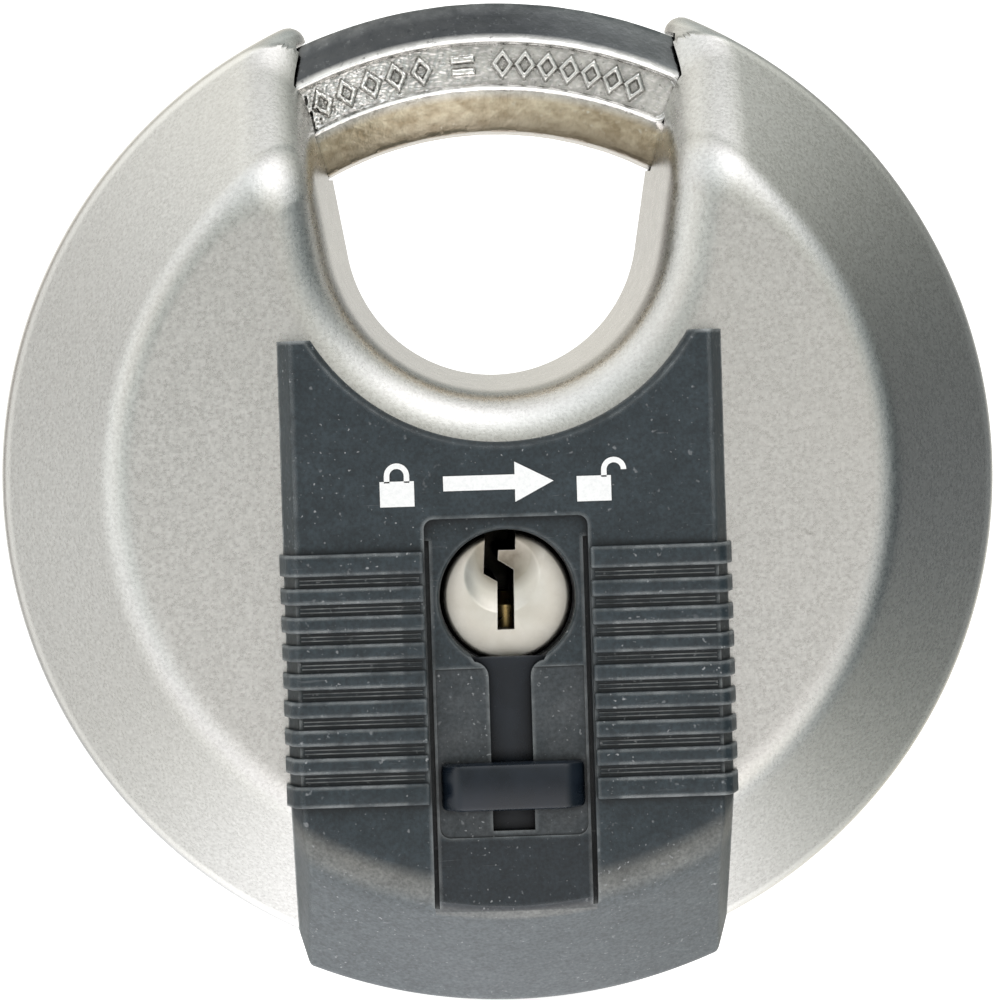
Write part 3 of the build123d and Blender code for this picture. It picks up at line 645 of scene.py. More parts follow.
def add_ribs(cover):
    """Level ribs on both sides of the channel, with two fine lines in each gap."""
    # (x, z) of the right-hand rib
    section = [(5.58, 13.9), (5.62, 15.72), (14.15, 15.72), (14.75, 15.25),
               (15.25, 13.3), (15.25, 12.66), (13.9, 12.66), (13.9, 13.9)]
    mirrored = [(-x, z) for x, z in section][::-1]
    gap = (RIB_SPAN - 2 * END_RIB_WIDTH - (RIB_COUNT - 2) * RIB_WIDTH) / (RIB_COUNT - 1)
    parts = []
    y = -4.58
    for k in range(RIB_COUNT):
        width = END_RIB_WIDTH if k in (0, RIB_COUNT - 1) else RIB_WIDTH
        for outline in (mirrored, section):
            parts.append(prism(outline, y - width, y, "y", bevel=0.15, pick=on_open_edge))
        y -= width
        if k < RIB_COUNT - 1:
            for x in both_sides(5.9, 13.9):
                for share in (0.33, 0.66):
                    line = y - gap * share
                    outline = [(line - 0.07, 15.1), (line + 0.07, 15.1),
                               (line + 0.035, 15.27), (line - 0.035, 15.27)]
                    parts.append(prism(outline, *x, "x"))
            y -= gap
    boolean(cover, join(parts), "UNION")


def cut_channel(cover):
    """Channel with rounded upper corners, a groove down each side and a pocket behind it."""
    corner = 0.65
    cx, cy = CHANNEL_HALF - corner, -3.1
    outline = [(-CHANNEL_HALF, -45), (CHANNEL_HALF, -45)]
    outline += arc(cx, cy, corner, 0, 90, 5) + arc(-cx, cy, corner, 90, 180, 5)
    boolean(cover, prism(outline, 14.1, 20))
    grooves = [block(x, (-28.8, -3.9), (13.6, 14.6)) for x in ((5.18, 5.52), (-5.52, -5.18))]
    boolean(cover, join(grooves))
    boolean(cover, block((-5.25, 5.25), (-24.8, -2.75), (11, 13.4)))


def cut_plug_hole(cover):
    """Plug's hole, flared into the slot for the shutter's post at its foot."""
    hole = [(0, 10), (4.6, 10), (4.6, 13.85), (4.68, 14.02), (4.95, 14.3), (4.95, 20), (0, 20)]
    boolean(cover, lathe(hole, (0, PLUG_Y), 144))
    half, flare_r = 1.42, 1.05
    flare = [(half + flare_r * (1 - math.cos(t)), -13.2 + flare_r * math.sin(t))
             for t in np.linspace(0, 1.45, 7)]
    slot = [(-half, -23.6), (half, -23.6), *flare, (3.0, -11.0), (-3.0, -11.0)]
    slot += [(-x, y) for x, y in reversed(flare)]
    boolean(cover, prism(slot, 12, 20))


def cut_shutter_recess(cover):
    """Shallow pocket round the shutter's path, with rounded lower corners."""
    half, corner, top = 5.0, 0.7, -12.6
    cx, cy = 4.3, -23.3
    outline = [(-half, top)] + arc(-cx, cy, corner, 180, 270, 5)
    outline += arc(cx, cy, corner, 270, 360, 5) + [(half, top)]
    boolean(cover, prism(outline, 14.0, 14.6))


def build_front_cover(material):
    cover = cover_blank("front_cover_moulding", material)
    for step in (trim_top, add_pads, add_ribs, cut_channel, cut_plug_hole,
                 cut_shutter_recess):
        step(cover)
    shade_smooth(cover, 33)
    return cover


def build_rear_cover(material):
    """Made facing the front with its level grooves, then mirrored to the rear."""
    count, pitch, half = 8, 1.888, 0.4
    cover = cover_blank("rear_cover_moulding", material)
    trim_top(cover)
    grooves = []
    for x in both_sides(6.2, 14.6):
        for k in range(count):
            y = -6.1 - pitch * k
            grooves.append(block(x, (y - half, y + half), (14.5, 20)))
    boolean(cover, join(grooves))
    cover.data.transform(Matrix.Diagonal((1, -1, 1, 1)))
    cover.data.flip_normals()
    shade_smooth(cover, 33)
    return cover


# ----------------------------------------------------- plug, shutter, key pins
# (x, y) of the keyhole's outline from the plug's axis, clockwise
KEYWAY = [(-1.31, 4.9), (0.74, 4.9), (0.67, 3.13), (-0.47, 3.13), (-0.52, 2.46),
          (0.54, 1.78), (0.46, -2.24), (-0.68, -2.24), (-0.58, 0.98), (-1.50, 1.56)]


def build_plug(material):
    # (r, z) from the rear, with a rounded front rim
    body = [(0, -5.6), (4.9, -5.6), (5.0, -5.5), (5.0, 9.7), (4.9, 9.8), (4.42, 9.8),
            (4.42, 11.75), *arc(4.02, 11.8, 0.4, 0, 90, 10), (3.2, 12.2), (0, 12.2)]
    plug = lathe(body, (0, PLUG_Y), 160, name="plug_turned", material=material)
    half = 2.2
    boss = block((-half, half), (PLUG_Y - half, PLUG_Y + half), (-7.1, -5.5),
                 bevel=0.15, segments=2)
    boolean(plug, boss, "UNION")
    # dished lead-in, a little above the axis, with an eased lip
    dish = [(0, 11.62), (0.9, 11.62), (1.35, 11.66)]
    dish += [(1.7 + 0.85 * t, 11.78 + 0.40 * t ** 1.3) for t in np.linspace(0, 1, 7)]
    dish += [(2.75, 12.235), (3.0, 12.26), (3.0, 13), (0, 13)]
    boolean(plug, lathe(dish, (-0.28, PLUG_Y + 1.45), 96))
    boolean(plug, prism([(x, PLUG_Y + y) for x, y in KEYWAY], -4.9, 14))
    chambers = [rod(1.5, -14, -7.35, (0, z), 40, "y") for z in PIN_ROW]
    boolean(plug, join(chambers))
    boolean(plug, rod(0.95, -8, -5.2, (0, PLUG_Y), 32))  # blind hole in the boss
    shade_smooth(plug, 30)
    return plug


def build_grip(material):
    """Shutter's bar across the channel, with a post and a peg behind it."""
    section = [(-4.82, 14.16), (4.82, 14.16), (4.82, 14.8),
               (3.72, 15.9), (-3.72, 15.9), (-4.82, 14.8)]
    bar = prism(section, -22.07, -18.93, "y", name="shutter_bar", material=material,
                bevel=0.36, segments=2, pick=lambda point: point[2] > 14.3)
    boolean(bar, block((-1.3, 1.3), (-21.6, -19.4), (13.36, 14.6)), "UNION")
    boolean(bar, block((-0.95, 0.95), (-21.15, -19.85), (12.78, 13.6)), "UNION")
    shade_smooth(bar, 30)
    return bar


def build_pin(name, length, z, material):
    bottom, radius = -12.74, 1.43
    top = bottom + length
    outline = [(0, bottom), (1.13, bottom), (radius, bottom + 0.3), (radius, top - 0.9),
               (0.55, top - 0.12), (0.45, top), (0, top)]
    return lathe(outline, (0, z), 64, "y", name, material)


# -------------------------------------------------------------- cover's print
def lock_sign(cx, is_open):
    """Outlines of a plain lock sign: body, then bow. An open bow stands to the right."""
    body = [(cx - 1.15, -1.45), (cx + 1.15, -1.45), (cx + 1.15, 0.25), (cx - 1.15, 0.25)]
    outer, inner, centre_y, foot = 0.85, 0.48, 0.62, 0.15
    bx = cx + (1.35 if is_open else 0.0)
    right_foot = centre_y if is_open else foot
    bow = [(bx - outer, foot), *arc(bx, centre_y, outer, 180, 0, 14),
           (bx + outer, right_foot), (bx + inner, right_foot),
           *arc(bx, centre_y, inner, 0, 180, 14), (bx - inner, foot)]
    return [body, bow]


def build_print(material):
    """Closed lock, arrow to the right, open lock, above the ribs."""
    arrow = [(-4.1, -0.5), (0.7, -0.5), (0.7, -1.35), (3.3, 0.0), (0.7, 1.35),
             (0.7, 0.5), (-4.1, 0.5)]
    outlines = lock_sign(-7.2, False) + lock_sign(6.0, True) + [arrow]
    ob = join([prism(o, 14.99, 15.035, material=material) for o in outlines], "cover_print")
    ob.data.transform(Matrix.Translation((0, 0, -0.0001)))  # 0.1 mm down
    shade_smooth(ob, 20)
    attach(ob, "case")


# ----------------------------------------------------------------- shader kit
class Graph:
    """Node tree with short helpers. Inputs may be numbers, colours or sockets."""

    def __init__(self, tree):
        self.tree = tree
        tree.nodes.clear()

    def node(self, kind, **settings):
        made = self.tree.nodes.new(kind)
        for key, value in settings.items():
            setattr(made, key, value)
        return made

    def link(self, source, target):
        self.tree.links.new(source, target)

    def feed(self, socket, value):
        if isinstance(value, (int, float)):
            socket.default_value = value
        elif isinstance(value, tuple):
            socket.default_value = value if len(value) == 4 else (*value, 1)
        else:
            self.link(value, socket)

    def math(self, operation, a, b=0.5, clamp=False):
        made = self.node("ShaderNodeMath", operation=operation, use_clamp=clamp)
        self.feed(made.inputs[0], a)
        self.feed(made.inputs[1], b)
        return made.outputs[0]

    def times(self, value, by):
        return self.math("MULTIPLY", value, by)

    def mix(self, amount, under, over, mode="MIX"):
        made = self.node("ShaderNodeMix", data_type="RGBA", blend_type=mode)
        for i, value in ((0, amount), (6, under), (7, over)):
            self.feed(made.inputs[i], value)
        return made.outputs[2]


class Surface(Graph):
    """A material with a principled shader. Lengths are in mm, x, y, z in Blender's axes."""

    def __init__(self, name):
        self.material = bpy.data.materials.new(name)
        self.material.use_nodes = True
        super().__init__(self.material.node_tree)
        self.output = self.node("ShaderNodeOutputMaterial")
        self.shader = self.node("ShaderNodeBsdfPrincipled")
        self.link(self.shader.outputs[0], self.output.inputs[0])
        self.place = self.node("ShaderNodeTexCoord").outputs["Object"]

    def noise(self, size, detail=2.0, rough=0.5, stretch=None, distortion=0.0):
        """Noise whose features are about `size` across."""
        place = self.place
        if stretch:
            mapping = self.node("ShaderNodeMapping")
            mapping.inputs["Scale"].default_value = stretch
            self.link(place, mapping.inputs[0])
            place = mapping.outputs[0]
        made = self.node("ShaderNodeTexNoise")
        made.inputs["Scale"].default_value = 500.0 / size
        made.inputs["Detail"].default_value = detail
        made.inputs["Roughness"].default_value = rough
        made.inputs["Distortion"].default_value = distortion
        self.link(place, made.inputs["Vector"])
        return made.outputs[0]

    def remap(self, value, to=(0, 1), over=(0.3, 0.7)):
        """Map the range `over` onto the range `to`, held at its ends."""
        made = self.node("ShaderNodeMapRange")
        for i, bound in enumerate((*over, *to), 1):
            made.inputs[i].default_value = bound
        self.link(value, made.inputs[0])
        return made.outputs[0]

    def band(self, value, over, soft):
        """1 within `over`, fading to 0 in `soft` on both sides."""
        low, high = over
        return self.times(self.remap(value, over=(low - soft, low)),
                          self.remap(value, to=(1, 0), over=(high, high + soft)))

    def bump(self, *layers, bevel=0.0):
        """Layers of (height socket, depth)."""
        normal = None
        if bevel > 0:
            made = self.node("ShaderNodeBevel", samples=3)
            made.inputs["Radius"].default_value = bevel * 0.001
            normal = made.outputs[0]
        for height, depth in layers:
            made = self.node("ShaderNodeBump")
            made.inputs["Strength"].default_value = 1.0
            made.inputs["Distance"].default_value = depth * 0.001
            self.link(height, made.inputs["Height"])
            if normal is not None:
                self.link(normal, made.inputs["Normal"])
            normal = made.outputs[0]
        self.link(normal, self.shader.inputs["Normal"])

    def edges(self, radius, gain):
        """About 0 on flats and up to 1 near edges."""
        bevel = self.node("ShaderNodeBevel", samples=3)
        bevel.inputs["Radius"].default_value = radius * 0.001
        geometry = self.node("ShaderNodeNewGeometry")
        dot = self.node("ShaderNodeVectorMath", operation="DOT_PRODUCT")
        self.link(bevel.outputs[0], dot.inputs[0])
        self.link(geometry.outputs["Normal"], dot.inputs[1])
        bend = self.math("SUBTRACT", 1.0, dot.outputs["Value"])
        return self.math("MULTIPLY", bend, gain, clamp=True)

    def axes(self, names):
        """Object coordinates in millimetres."""
        made = self.node("ShaderNodeSeparateXYZ")
        self.link(self.place, made.inputs[0])
        return [self.times(made.outputs[name], 1000.0) for name in names]

    def length(self, a, b):
        return self.math("SQRT", self.math("ADD", self.times(a, a), self.times(b, b)))

    def ellipse(self, x, z, centre, radii):
        """0 at the centre, 1 on the ellipse."""
        return self.length(*[self.math("DIVIDE", self.math("SUBTRACT", value, c), radius)
                             for value, c, radius in zip((x, z), centre, radii)])

    def shade(self, distance, inside=False):
        """0 on open flats, rising in cavities, or on proud edges when inside."""
        made = self.node("ShaderNodeAmbientOcclusion", samples=3, inside=inside,
                         only_local=inside)
        made.inputs["Distance"].default_value = distance * 0.001
        return self.math("SUBTRACT", 1.0, made.outputs["AO"], clamp=True)

    def set(self, **inputs):
        for key, value in inputs.items():
            self.feed(self.shader.inputs[key.replace("_", " ")], value)


# ------------------------------------------------------------------ materials
def satin_material():
    s = Surface("satin_stainless_blasted")
    grain = s.noise(size=0.12, detail=3, rough=0.65)
    mid = s.noise(size=0.42)
    big = s.noise(size=9.0)
    streak = s.noise(size=0.2, stretch=(3.2, 1, 0.55))
    colour = s.mix(s.remap(grain, over=(0.32, 0.68)),
                   under=(0.50, 0.495, 0.475), over=(0.70, 0.695, 0.67))
    colour = s.mix(s.remap(big, to=(0, 0.35)), colour, over=(0.63, 0.615, 0.58))
    # small dark pits and scuffs
    pits = s.remap(s.noise(size=0.5, detail=3, rough=0.7), over=(0.70, 0.76))
    colour = s.mix(s.times(pits, by=0.35), colour, over=(0.30, 0.29, 0.27))
    # painted highlight: the rim's narrow edge is brighter
    x, y, z = s.axes("XYZ")
    rim = s.remap(s.length(x, z), to=(0, 0.55), over=(33.95, 34.15))
    colour = s.mix(rim, colour, over=(0.93, 0.92, 0.88))
    # painted shade and grime: the steel behind the cover's pocket is dull and dark
    pocket_shade_and_grime = s.times(s.band(x, over=(-4.6, 4.6), soft=0.3),
                    by=s.band(z, over=(-25.4, -2.0), soft=0.3))
    pocket_shade_and_grime = s.times(pocket_shade_and_grime, by=s.remap(y, to=(1, 0), over=(-12.2, -11.9)))
    colour = s.mix(s.times(pocket_shade_and_grime, by=0.9), colour, over=(0.045, 0.048, 0.050))
    rough = s.math("ADD", s.remap(mid, to=(0.265, 0.30)), s.remap(grain, to=(-0.03, 0.04)))
    s.set(Base_Color=colour, Metallic=1.0, Roughness=rough)
    s.bump((mid, 0.004), (grain, 0.013), (streak, 0.003))
    return s.material


def plated_material():
    s = Surface("plated_cast_shackle")
    fine = s.noise(size=0.18, detail=3, rough=0.6)
    mid = s.noise(size=0.6, detail=3, rough=0.6)
    big = s.noise(size=3.0)
    contrast = (0.35, 0.65)
    colour = s.mix(s.remap(mid, over=contrast),
                   under=(0.60, 0.595, 0.575), over=(0.82, 0.81, 0.78))
    spots = s.remap(s.noise(size=0.35, detail=4, rough=0.75), over=(0.60, 0.68))
    colour = s.mix(s.times(spots, by=0.6), colour, over=(0.14, 0.135, 0.125))
    x, z = s.axes("XZ")
    radius = s.length(x, z)
    # tan on the inner side of the curve
    inner = s.remap(radius, to=(1, 0), over=(26.3, 27.0))
    tan = s.mix(s.remap(mid, over=contrast), under=(0.44, 0.35, 0.22), over=(0.80, 0.70, 0.51))
    deep = s.remap(radius, to=(1, 0), over=(24.2, 25.6))
    tan = s.mix(deep, tan, over=(0.34, 0.28, 0.20))
    glint = s.remap(s.noise(size=0.20, detail=3, rough=0.7), over=(0.60, 0.68))
    patches = s.remap(s.noise(size=1.5), to=(0, 0.8), over=(0.42, 0.6))
    tan = s.mix(s.times(glint, by=patches), tan, over=(0.85, 0.80, 0.68))
    colour = s.mix(s.times(inner, by=0.92), colour, tan)
    # painted reflection on the outer side: dark, paler to the right and on the outermost flat
    outer = s.remap(radius, over=(30.5, 30.9))
    painted_outer_reflection = s.mix(s.times(glint, by=0.5), under=(0.026, 0.032, 0.040), over=(0.16, 0.17, 0.18))
    pale = s.times(s.remap(x, to=(0, 0.85), over=(2.0, 12.0)),
                   by=s.remap(big, to=(0.3, 1.0), over=contrast))
    painted_outer_reflection = s.mix(pale, painted_outer_reflection, over=(0.22, 0.235, 0.245))
    pale = s.times(s.remap(radius, to=(0, 0.8), over=(32.2, 33.1)),
                   by=s.remap(mid, to=(0.4, 1.0), over=contrast))
    painted_outer_reflection = s.mix(pale, painted_outer_reflection, over=(0.20, 0.21, 0.22))
    colour = s.mix(s.times(outer, by=0.92), colour, painted_outer_reflection)
    # bright edges, painted shade in the corners
    colour = s.mix(s.edges(radius=0.22, gain=4.0), colour, over=(0.93, 0.91, 0.85))
    corner_shade = s.remap(s.shade(distance=0.45), to=(0, 0.85), over=(0.10, 0.45))
    colour = s.mix(corner_shade, colour, over=(0.05, 0.045, 0.04))
    rough = s.math("ADD", s.remap(mid, to=(0.12, 0.20)), s.remap(fine, to=(0.0, 0.06)))
    s.set(Base_Color=colour, Metallic=1.0, Roughness=rough)
    s.bump((big, 0.05), (mid, 0.035), (fine, 0.022))
    return s.material


def cover_material():
    s = Surface("cover_thermoplastic")
    fine = s.noise(size=0.14, detail=3, rough=0.6)
    mid = s.noise(size=0.9, detail=3, rough=0.6)
    big = s.noise(size=7.0, detail=3, rough=0.55)
    colour = s.mix(s.remap(mid), under=(0.014, 0.022, 0.027), over=(0.024, 0.035, 0.042))
    # painted sheen: the sloped foot is paler, with a painted highlight along its bend
    x, y, z = s.axes("XYZ")
    radius = s.length(x, z)
    low = s.remap(z, to=(1, 0), over=(-22.4, -19.5))
    front = s.remap(y, to=(1, 0), over=(-12.4, -12.0))
    channel = s.times(s.band(x, over=(-5.45, 5.45), soft=0.05), by=front)
    foot = s.mix(channel, under=s.remap(radius, over=(27.4, 28.5)),
                 over=s.remap(radius, over=(28.95, 29.15)))
    bend = s.mix(channel, under=s.band(radius, over=(27.5, 28.3), soft=0.9),
                 over=s.band(radius, over=(29.1, 29.5), soft=0.3))
    foot = s.times(foot, by=low)
    bend = s.times(bend, by=low)
    colour = s.mix(s.times(foot, by=0.75), colour, over=(0.096, 0.110, 0.114))
    colour = s.mix(s.times(bend, by=s.remap(big, to=(0.12, 0.55))), colour,
                   over=(0.28, 0.27, 0.24))
    # the channel: paler round the shutter's path, dark below it
    path = s.times(channel, by=s.band(z, over=(-23.9, -12.7), soft=0.15))
    colour = s.mix(s.times(path, by=s.remap(mid, to=(0.25, 0.85))), colour,
                   over=(0.062, 0.068, 0.072))
    below = s.times(channel, by=s.band(z, over=(-29.0, -24.2), soft=0.1))
    colour = s.mix(s.times(below, by=0.6), colour, over=(0.010, 0.013, 0.017))
    # pale dust and fine scuffs
    dust = s.remap(s.noise(size=0.32), over=(0.70, 0.77))
    patches = s.remap(big, to=(0.15, 0.9), over=(0.35, 0.7))
    colour = s.mix(s.times(dust, by=patches), colour, over=(0.24, 0.25, 0.26))
    scuffs = s.noise(size=0.25, rough=0.4, stretch=(0.22, 1, 2.6), distortion=0.6)
    scuffs = s.times(s.remap(scuffs, over=(0.70, 0.78)), by=0.16)
    colour = s.mix(scuffs, colour, over=(0.25, 0.26, 0.27))
    # moulded grain, fine then coarse
    contrast = (0.32, 0.68)
    grain = s.remap(s.noise(size=0.13, rough=0.6), to=(0.74, 1.28), over=contrast)
    colour = s.mix(1.0, colour, grain, mode="MULTIPLY")
    grain = s.remap(s.noise(size=0.55, detail=3, rough=0.65), to=(0.88, 1.13), over=contrast)
    colour = s.mix(1.0, colour, grain, mode="MULTIPLY")
    specks = s.remap(s.noise(size=0.15, detail=1), over=(0.70, 0.75))
    patches = s.remap(s.noise(size=2.4), to=(0.15, 0.75), over=(0.42, 0.62))
    colour = s.mix(s.times(specks, by=patches), colour, over=(0.34, 0.35, 0.36))
    # proud edges rubbed bright, partly worn and partly painted highlight, less so near the
    # channel; painted shade in the corners
    proud = s.remap(s.shade(distance=0.30, inside=True), to=(0, 0.95), over=(0.06, 0.36))
    uneven = s.remap(s.noise(size=1.1, detail=3, rough=0.7), to=(0.30, 1.0), over=(0.38, 0.62))
    spared = s.times(s.band(x, over=(-7.0, 7.0), soft=0.2), by=0.62)
    wear_and_highlight = s.times(s.times(proud, by=uneven), by=s.math("SUBTRACT", 1.0, spared))
    colour = s.mix(wear_and_highlight, colour, over=(0.40, 0.42, 0.42))
    corners = s.remap(s.shade(distance=0.55), to=(0, 0.97), over=(0.12, 0.50))
    colour = s.mix(corners, colour, over=(0.001, 0.0015, 0.002))
    rough = s.math("ADD", s.remap(big, to=(0.40, 0.50)), s.remap(fine, to=(-0.04, 0.06)))
    s.set(Base_Color=colour, Roughness=rough, Specular_IOR_Level=0.42)
    s.bump((mid, 0.012), (fine, 0.020))
    return s.material


def shutter_material():
    s = Surface("shutter_plastic_gloss")
    fine = s.noise(size=0.2)
    mid = s.noise(size=1.4, detail=3, rough=0.6)
    colour = s.mix(s.remap(mid), under=(0.003, 0.006, 0.010), over=(0.008, 0.013, 0.021))
    dust = s.remap(s.noise(size=0.3), over=(0.75, 0.80))
    colour = s.mix(s.times(dust, by=0.5), colour, over=(0.2, 0.21, 0.22))
    edges = s.edges(radius=0.22, gain=3.0)
    colour = s.mix(s.times(edges, by=0.4), colour, over=(0.15, 0.16, 0.17))
    shade = s.remap(s.shade(distance=1.3), to=(0, 0.93), over=(0.10, 0.65))
    colour = s.mix(shade, colour, over=(0.0005, 0.0005, 0.0008))
    s.set(Base_Color=colour, Roughness=s.remap(mid, to=(0.22, 0.33)),
          Specular_IOR_Level=s.math("SUBTRACT", 0.42, s.times(shade, by=0.38)))
    s.bump((mid, 0.01), (fine, 0.004), bevel=0.1)
    return s.material


def nickel_material():
    s = Surface("plug_satin_nickel")
    fine = s.noise(size=0.12, detail=3, rough=0.6)
    mid = s.noise(size=0.8, detail=3, rough=0.55)
    big = s.noise(size=3.5)
    colour = s.mix(s.remap(mid), under=(0.74, 0.70, 0.62), over=(0.84, 0.81, 0.74))
    # blotchy tarnish with painted shade in the dish, darkest near the keyhole
    x, z = s.axes("XZ")
    blot = s.noise(size=1.6, detail=4, rough=0.65)
    dish = s.ellipse(x, z, centre=(-0.12, -5.0), radii=(2.6, 2.7))
    dish = s.remap(dish, to=(1, 0), over=(0.72, 1.04))
    near = s.ellipse(x, z, centre=(-0.25, -5.0), radii=(1.7, 2.1))
    near = s.remap(near, to=(1, 0), over=(0.5, 1.1))
    colour = s.mix(s.times(dish, by=s.remap(blot, to=(0.70, 0.98))), colour,
                   over=(0.33, 0.30, 0.24))
    colour = s.mix(s.times(near, by=s.remap(blot, to=(0.3, 0.9), over=(0.35, 0.6))), colour,
                   over=(0.13, 0.11, 0.08))
    edges = s.edges(radius=0.12, gain=4.0)
    colour = s.mix(s.times(edges, by=0.7), colour, over=(0.93, 0.91, 0.86))
    # painted shade: deep hollows turn dark and dull
    shade = s.remap(s.shade(distance=2.2), to=(0, 1.0), over=(0.22, 0.62))
    colour = s.mix(shade, colour, over=(0.004, 0.003, 0.002))
    s.set(Base_Color=colour,
          Metallic=s.math("SUBTRACT", 0.85, s.times(shade, by=0.6)),
          Roughness=s.remap(big, to=(0.32, 0.42)),
          Specular_IOR_Level=s.math("SUBTRACT", 0.5, s.times(shade, by=0.5), clamp=True))
    s.bump((mid, 0.010), (fine, 0.006), bevel=0.08)
    return s.material


def metal_material(name, dark, pale, rough, depth=0.01, turned=False):
    """Plain metal; when turned, with lathe lines and painted shade in its hollows."""
    s = Surface(name)
    mid = s.noise(size=0.8, detail=3, rough=0.55)
    if turned:
        lines = s.noise(size=0.12, stretch=(0.15, 3.0, 0.15))
    else:
        lines = s.noise(size=0.15, detail=3, rough=0.6)
    colour = s.mix(s.remap(mid), dark, pale)
    edges = s.edges(radius=0.12, gain=3.0)
    bright = tuple(min(1.0, channel * 1.5 + 0.05) for channel in pale)
    colour = s.mix(s.times(edges, by=0.5), colour, bright)
    if turned:
        # painted shade in the hollows
        hollows = s.remap(s.shade(distance=1.2), to=(0, 0.9), over=(0.35, 0.95))
        colour = s.mix(hollows, colour, over=(0.01, 0.006, 0.002))
    s.set(Base_Color=colour, Metallic=1.0, Roughness=s.remap(mid, to=rough))
    s.bump((mid, depth), (lines, depth * 0.6))
    return s.material


def print_material():
    s = Surface("white_pad_print")
    grain = s.noise(size=0.12, detail=3, rough=0.7)
    colour = s.mix(s.remap(grain), under=(0.80, 0.81, 0.81), over=(0.93, 0.93, 0.92))
    s.set(Base_Color=colour, Roughness=s.remap(grain, to=(0.45, 0.6)))
    s.bump((grain, 0.004))
    return s.material


def floor_material():
    """Pale and glowing to the camera, clear to every other ray."""
    s = Surface("pale_floor")
    mottle = s.remap(s.noise(size=30.0))
    s.set(Base_Color=s.mix(mottle, under=(0.55, 0.55, 0.55), over=(0.60, 0.60, 0.60)),
          Roughness=0.9, Emission_Color=(0.97, 0.97, 0.97), Emission_Strength=1.0)
    rays = s.node("ShaderNodeLightPath")
    clear = s.node("ShaderNodeBsdfTransparent")
    choice = s.node("ShaderNodeMixShader")
    s.link(rays.outputs["Is Camera Ray"], choice.inputs[0])
    s.link(clear.outputs[0], choice.inputs[1])
    s.link(s.shader.outputs[0], choice.inputs[2])
    s.link(choice.outputs[0], s.output.inputs[0])
    return s.material


MATERIALS = {
    "satin_stainless": satin_material(),
    "plated_steel": plated_material(),
    "cover_plastic": cover_material(),
    "shutter_plastic": shutter_material(),
    "plug_nickel": nickel_material(),
    "brass": metal_material("brass_turned", dark=(0.60, 0.42, 0.16), pale=(0.74, 0.55, 0.25),
                            rough=(0.22, 0.34), turned=True),
    "zinc_steel": metal_material("zinc_plate", dark=(0.50, 0.51, 0.53),
                                 pale=(0.66, 0.67, 0.68), rough=(0.28, 0.42)),
    "hardened_steel": metal_material("hardened_dark", dark=(0.16, 0.165, 0.18),
                                     pale=(0.26, 0.26, 0.27), rough=(0.30, 0.46)),
    "spring_steel": metal_material("spring_wire", dark=(0.48, 0.48, 0.48),
                                   pale=(0.62, 0.62, 0.61), rough=(0.22, 0.32)),
    "core_zinc": metal_material("zinc_casting", dark=(0.40, 0.41, 0.42),
                                pale=(0.55, 0.56, 0.57), rough=(0.42, 0.58), depth=0.03),
}
PRINT = print_material()
for node, part in NODES.items():
    part.data.materials.clear()
    part.data.materials.append(MATERIALS[SLOTS[node]])


# -------------------------------------------------------------------- assembly
def stand(ob, body, node):
    """A finished mesh that stands for a CAD node."""
    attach(ob, body)
    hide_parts(node)


steel, plastic = MATERIALS["satin_stainless"], MATERIALS["cover_plastic"]
stand(build_shell("front_shell_skin", True, steel), "case", "front_shell")
stand(build_shell("rear_shell_skin", False, steel), "case", "rear_shell")
stand(build_shackle(MATERIALS["plated_steel"]), "shackle", "shackle")
stand(build_front_cover(plastic), "case", "front_cover")
stand(build_rear_cover(plastic), "case", "rear_cover")
stand(build_plug(MATERIALS["plug_nickel"]), "plug", "plug")
stand(build_grip(MATERIALS["shutter_plastic"]), "shutter", "shutter_grip")
PIN_LENGTHS = (5.0, 4.2, 3.6, 4.6)
for i, (pin_z, length) in enumerate(zip(PIN_ROW, PIN_LENGTHS), 1):
    pin = build_pin(f"key_pin_turned_{i}", length, pin_z, MATERIALS["brass"])
    stand(pin, f"key_pin_{i}", f"key_pin_{i}")
    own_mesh(NODES[f"pin_spring_{i}"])
build_print(PRINT)

# ---------------------------------------------------------------------- camera
VIEW_DISTANCE = 280.0          # mm
AZIMUTH, ELEVATION, ROLL = (math.radians(a) for a in (-1.5, 1.5, 1.75))
SHIFT_RIGHT, SHIFT_UP = 0.12022631, -1.6831683  # of the camera in its own plane, mm
SENSOR, LENS = 36.0, 142.5312  # mm


def build_camera():
    back = Vector((math.sin(AZIMUTH) * math.cos(ELEVATION),
                   -math.cos(AZIMUTH) * math.cos(ELEVATION), math.sin(ELEVATION)))
    forward = -back
    level = forward.cross(Vector((0, 0, 1))).normalized()
    upright = level.cross(forward)
    right = level * math.cos(ROLL) - upright * math.sin(ROLL)
    up = upright * math.cos(ROLL) + level * math.sin(ROLL)
    place = back * VIEW_DISTANCE + right * SHIFT_RIGHT + up * SHIFT_UP
    camera = bpy.data.cameras.new("camera")
    camera.sensor_width = SENSOR
    camera.lens = LENS
    camera.clip_start = 0.01
    camera.clip_end = 20.0
    ob = bpy.data.objects.new("camera", camera)
    turn = Matrix((right, up, back)).transposed().to_4x4()
    ob.matrix_world = Matrix.Translation(place * 0.001) @ turn
    bpy.context.scene.collection.objects.link(ob)
    bpy.context.scene.camera = ob


# ----------------------------------------------------------------------- floor
def build_floor():
    """Level floor rising behind in a curve, in metres."""
    level, half_width = -0.0371, 2.5
    bend_y, bend_r = 0.25, 0.5
    outline = [(-1.2, level)]
    outline += [(bend_y + bend_r * math.sin(t), level + bend_r - bend_r * math.cos(t))
                for t in np.linspace(0, math.pi / 2, 24)]
    outline.append((bend_y + bend_r, 2.2))
    verts = [(x, y, z) for y, z in outline for x in (-half_width, half_width)]
    faces = [(2 * i, 2 * i + 1, 2 * i + 3, 2 * i + 2) for i in range(len(outline) - 1)]
    make_object("floor", verts, faces, floor_material(), weld=0, bench=False)


# ----------------------------------------------------------------------- light
LOBE_TIGHTNESS = 9.0
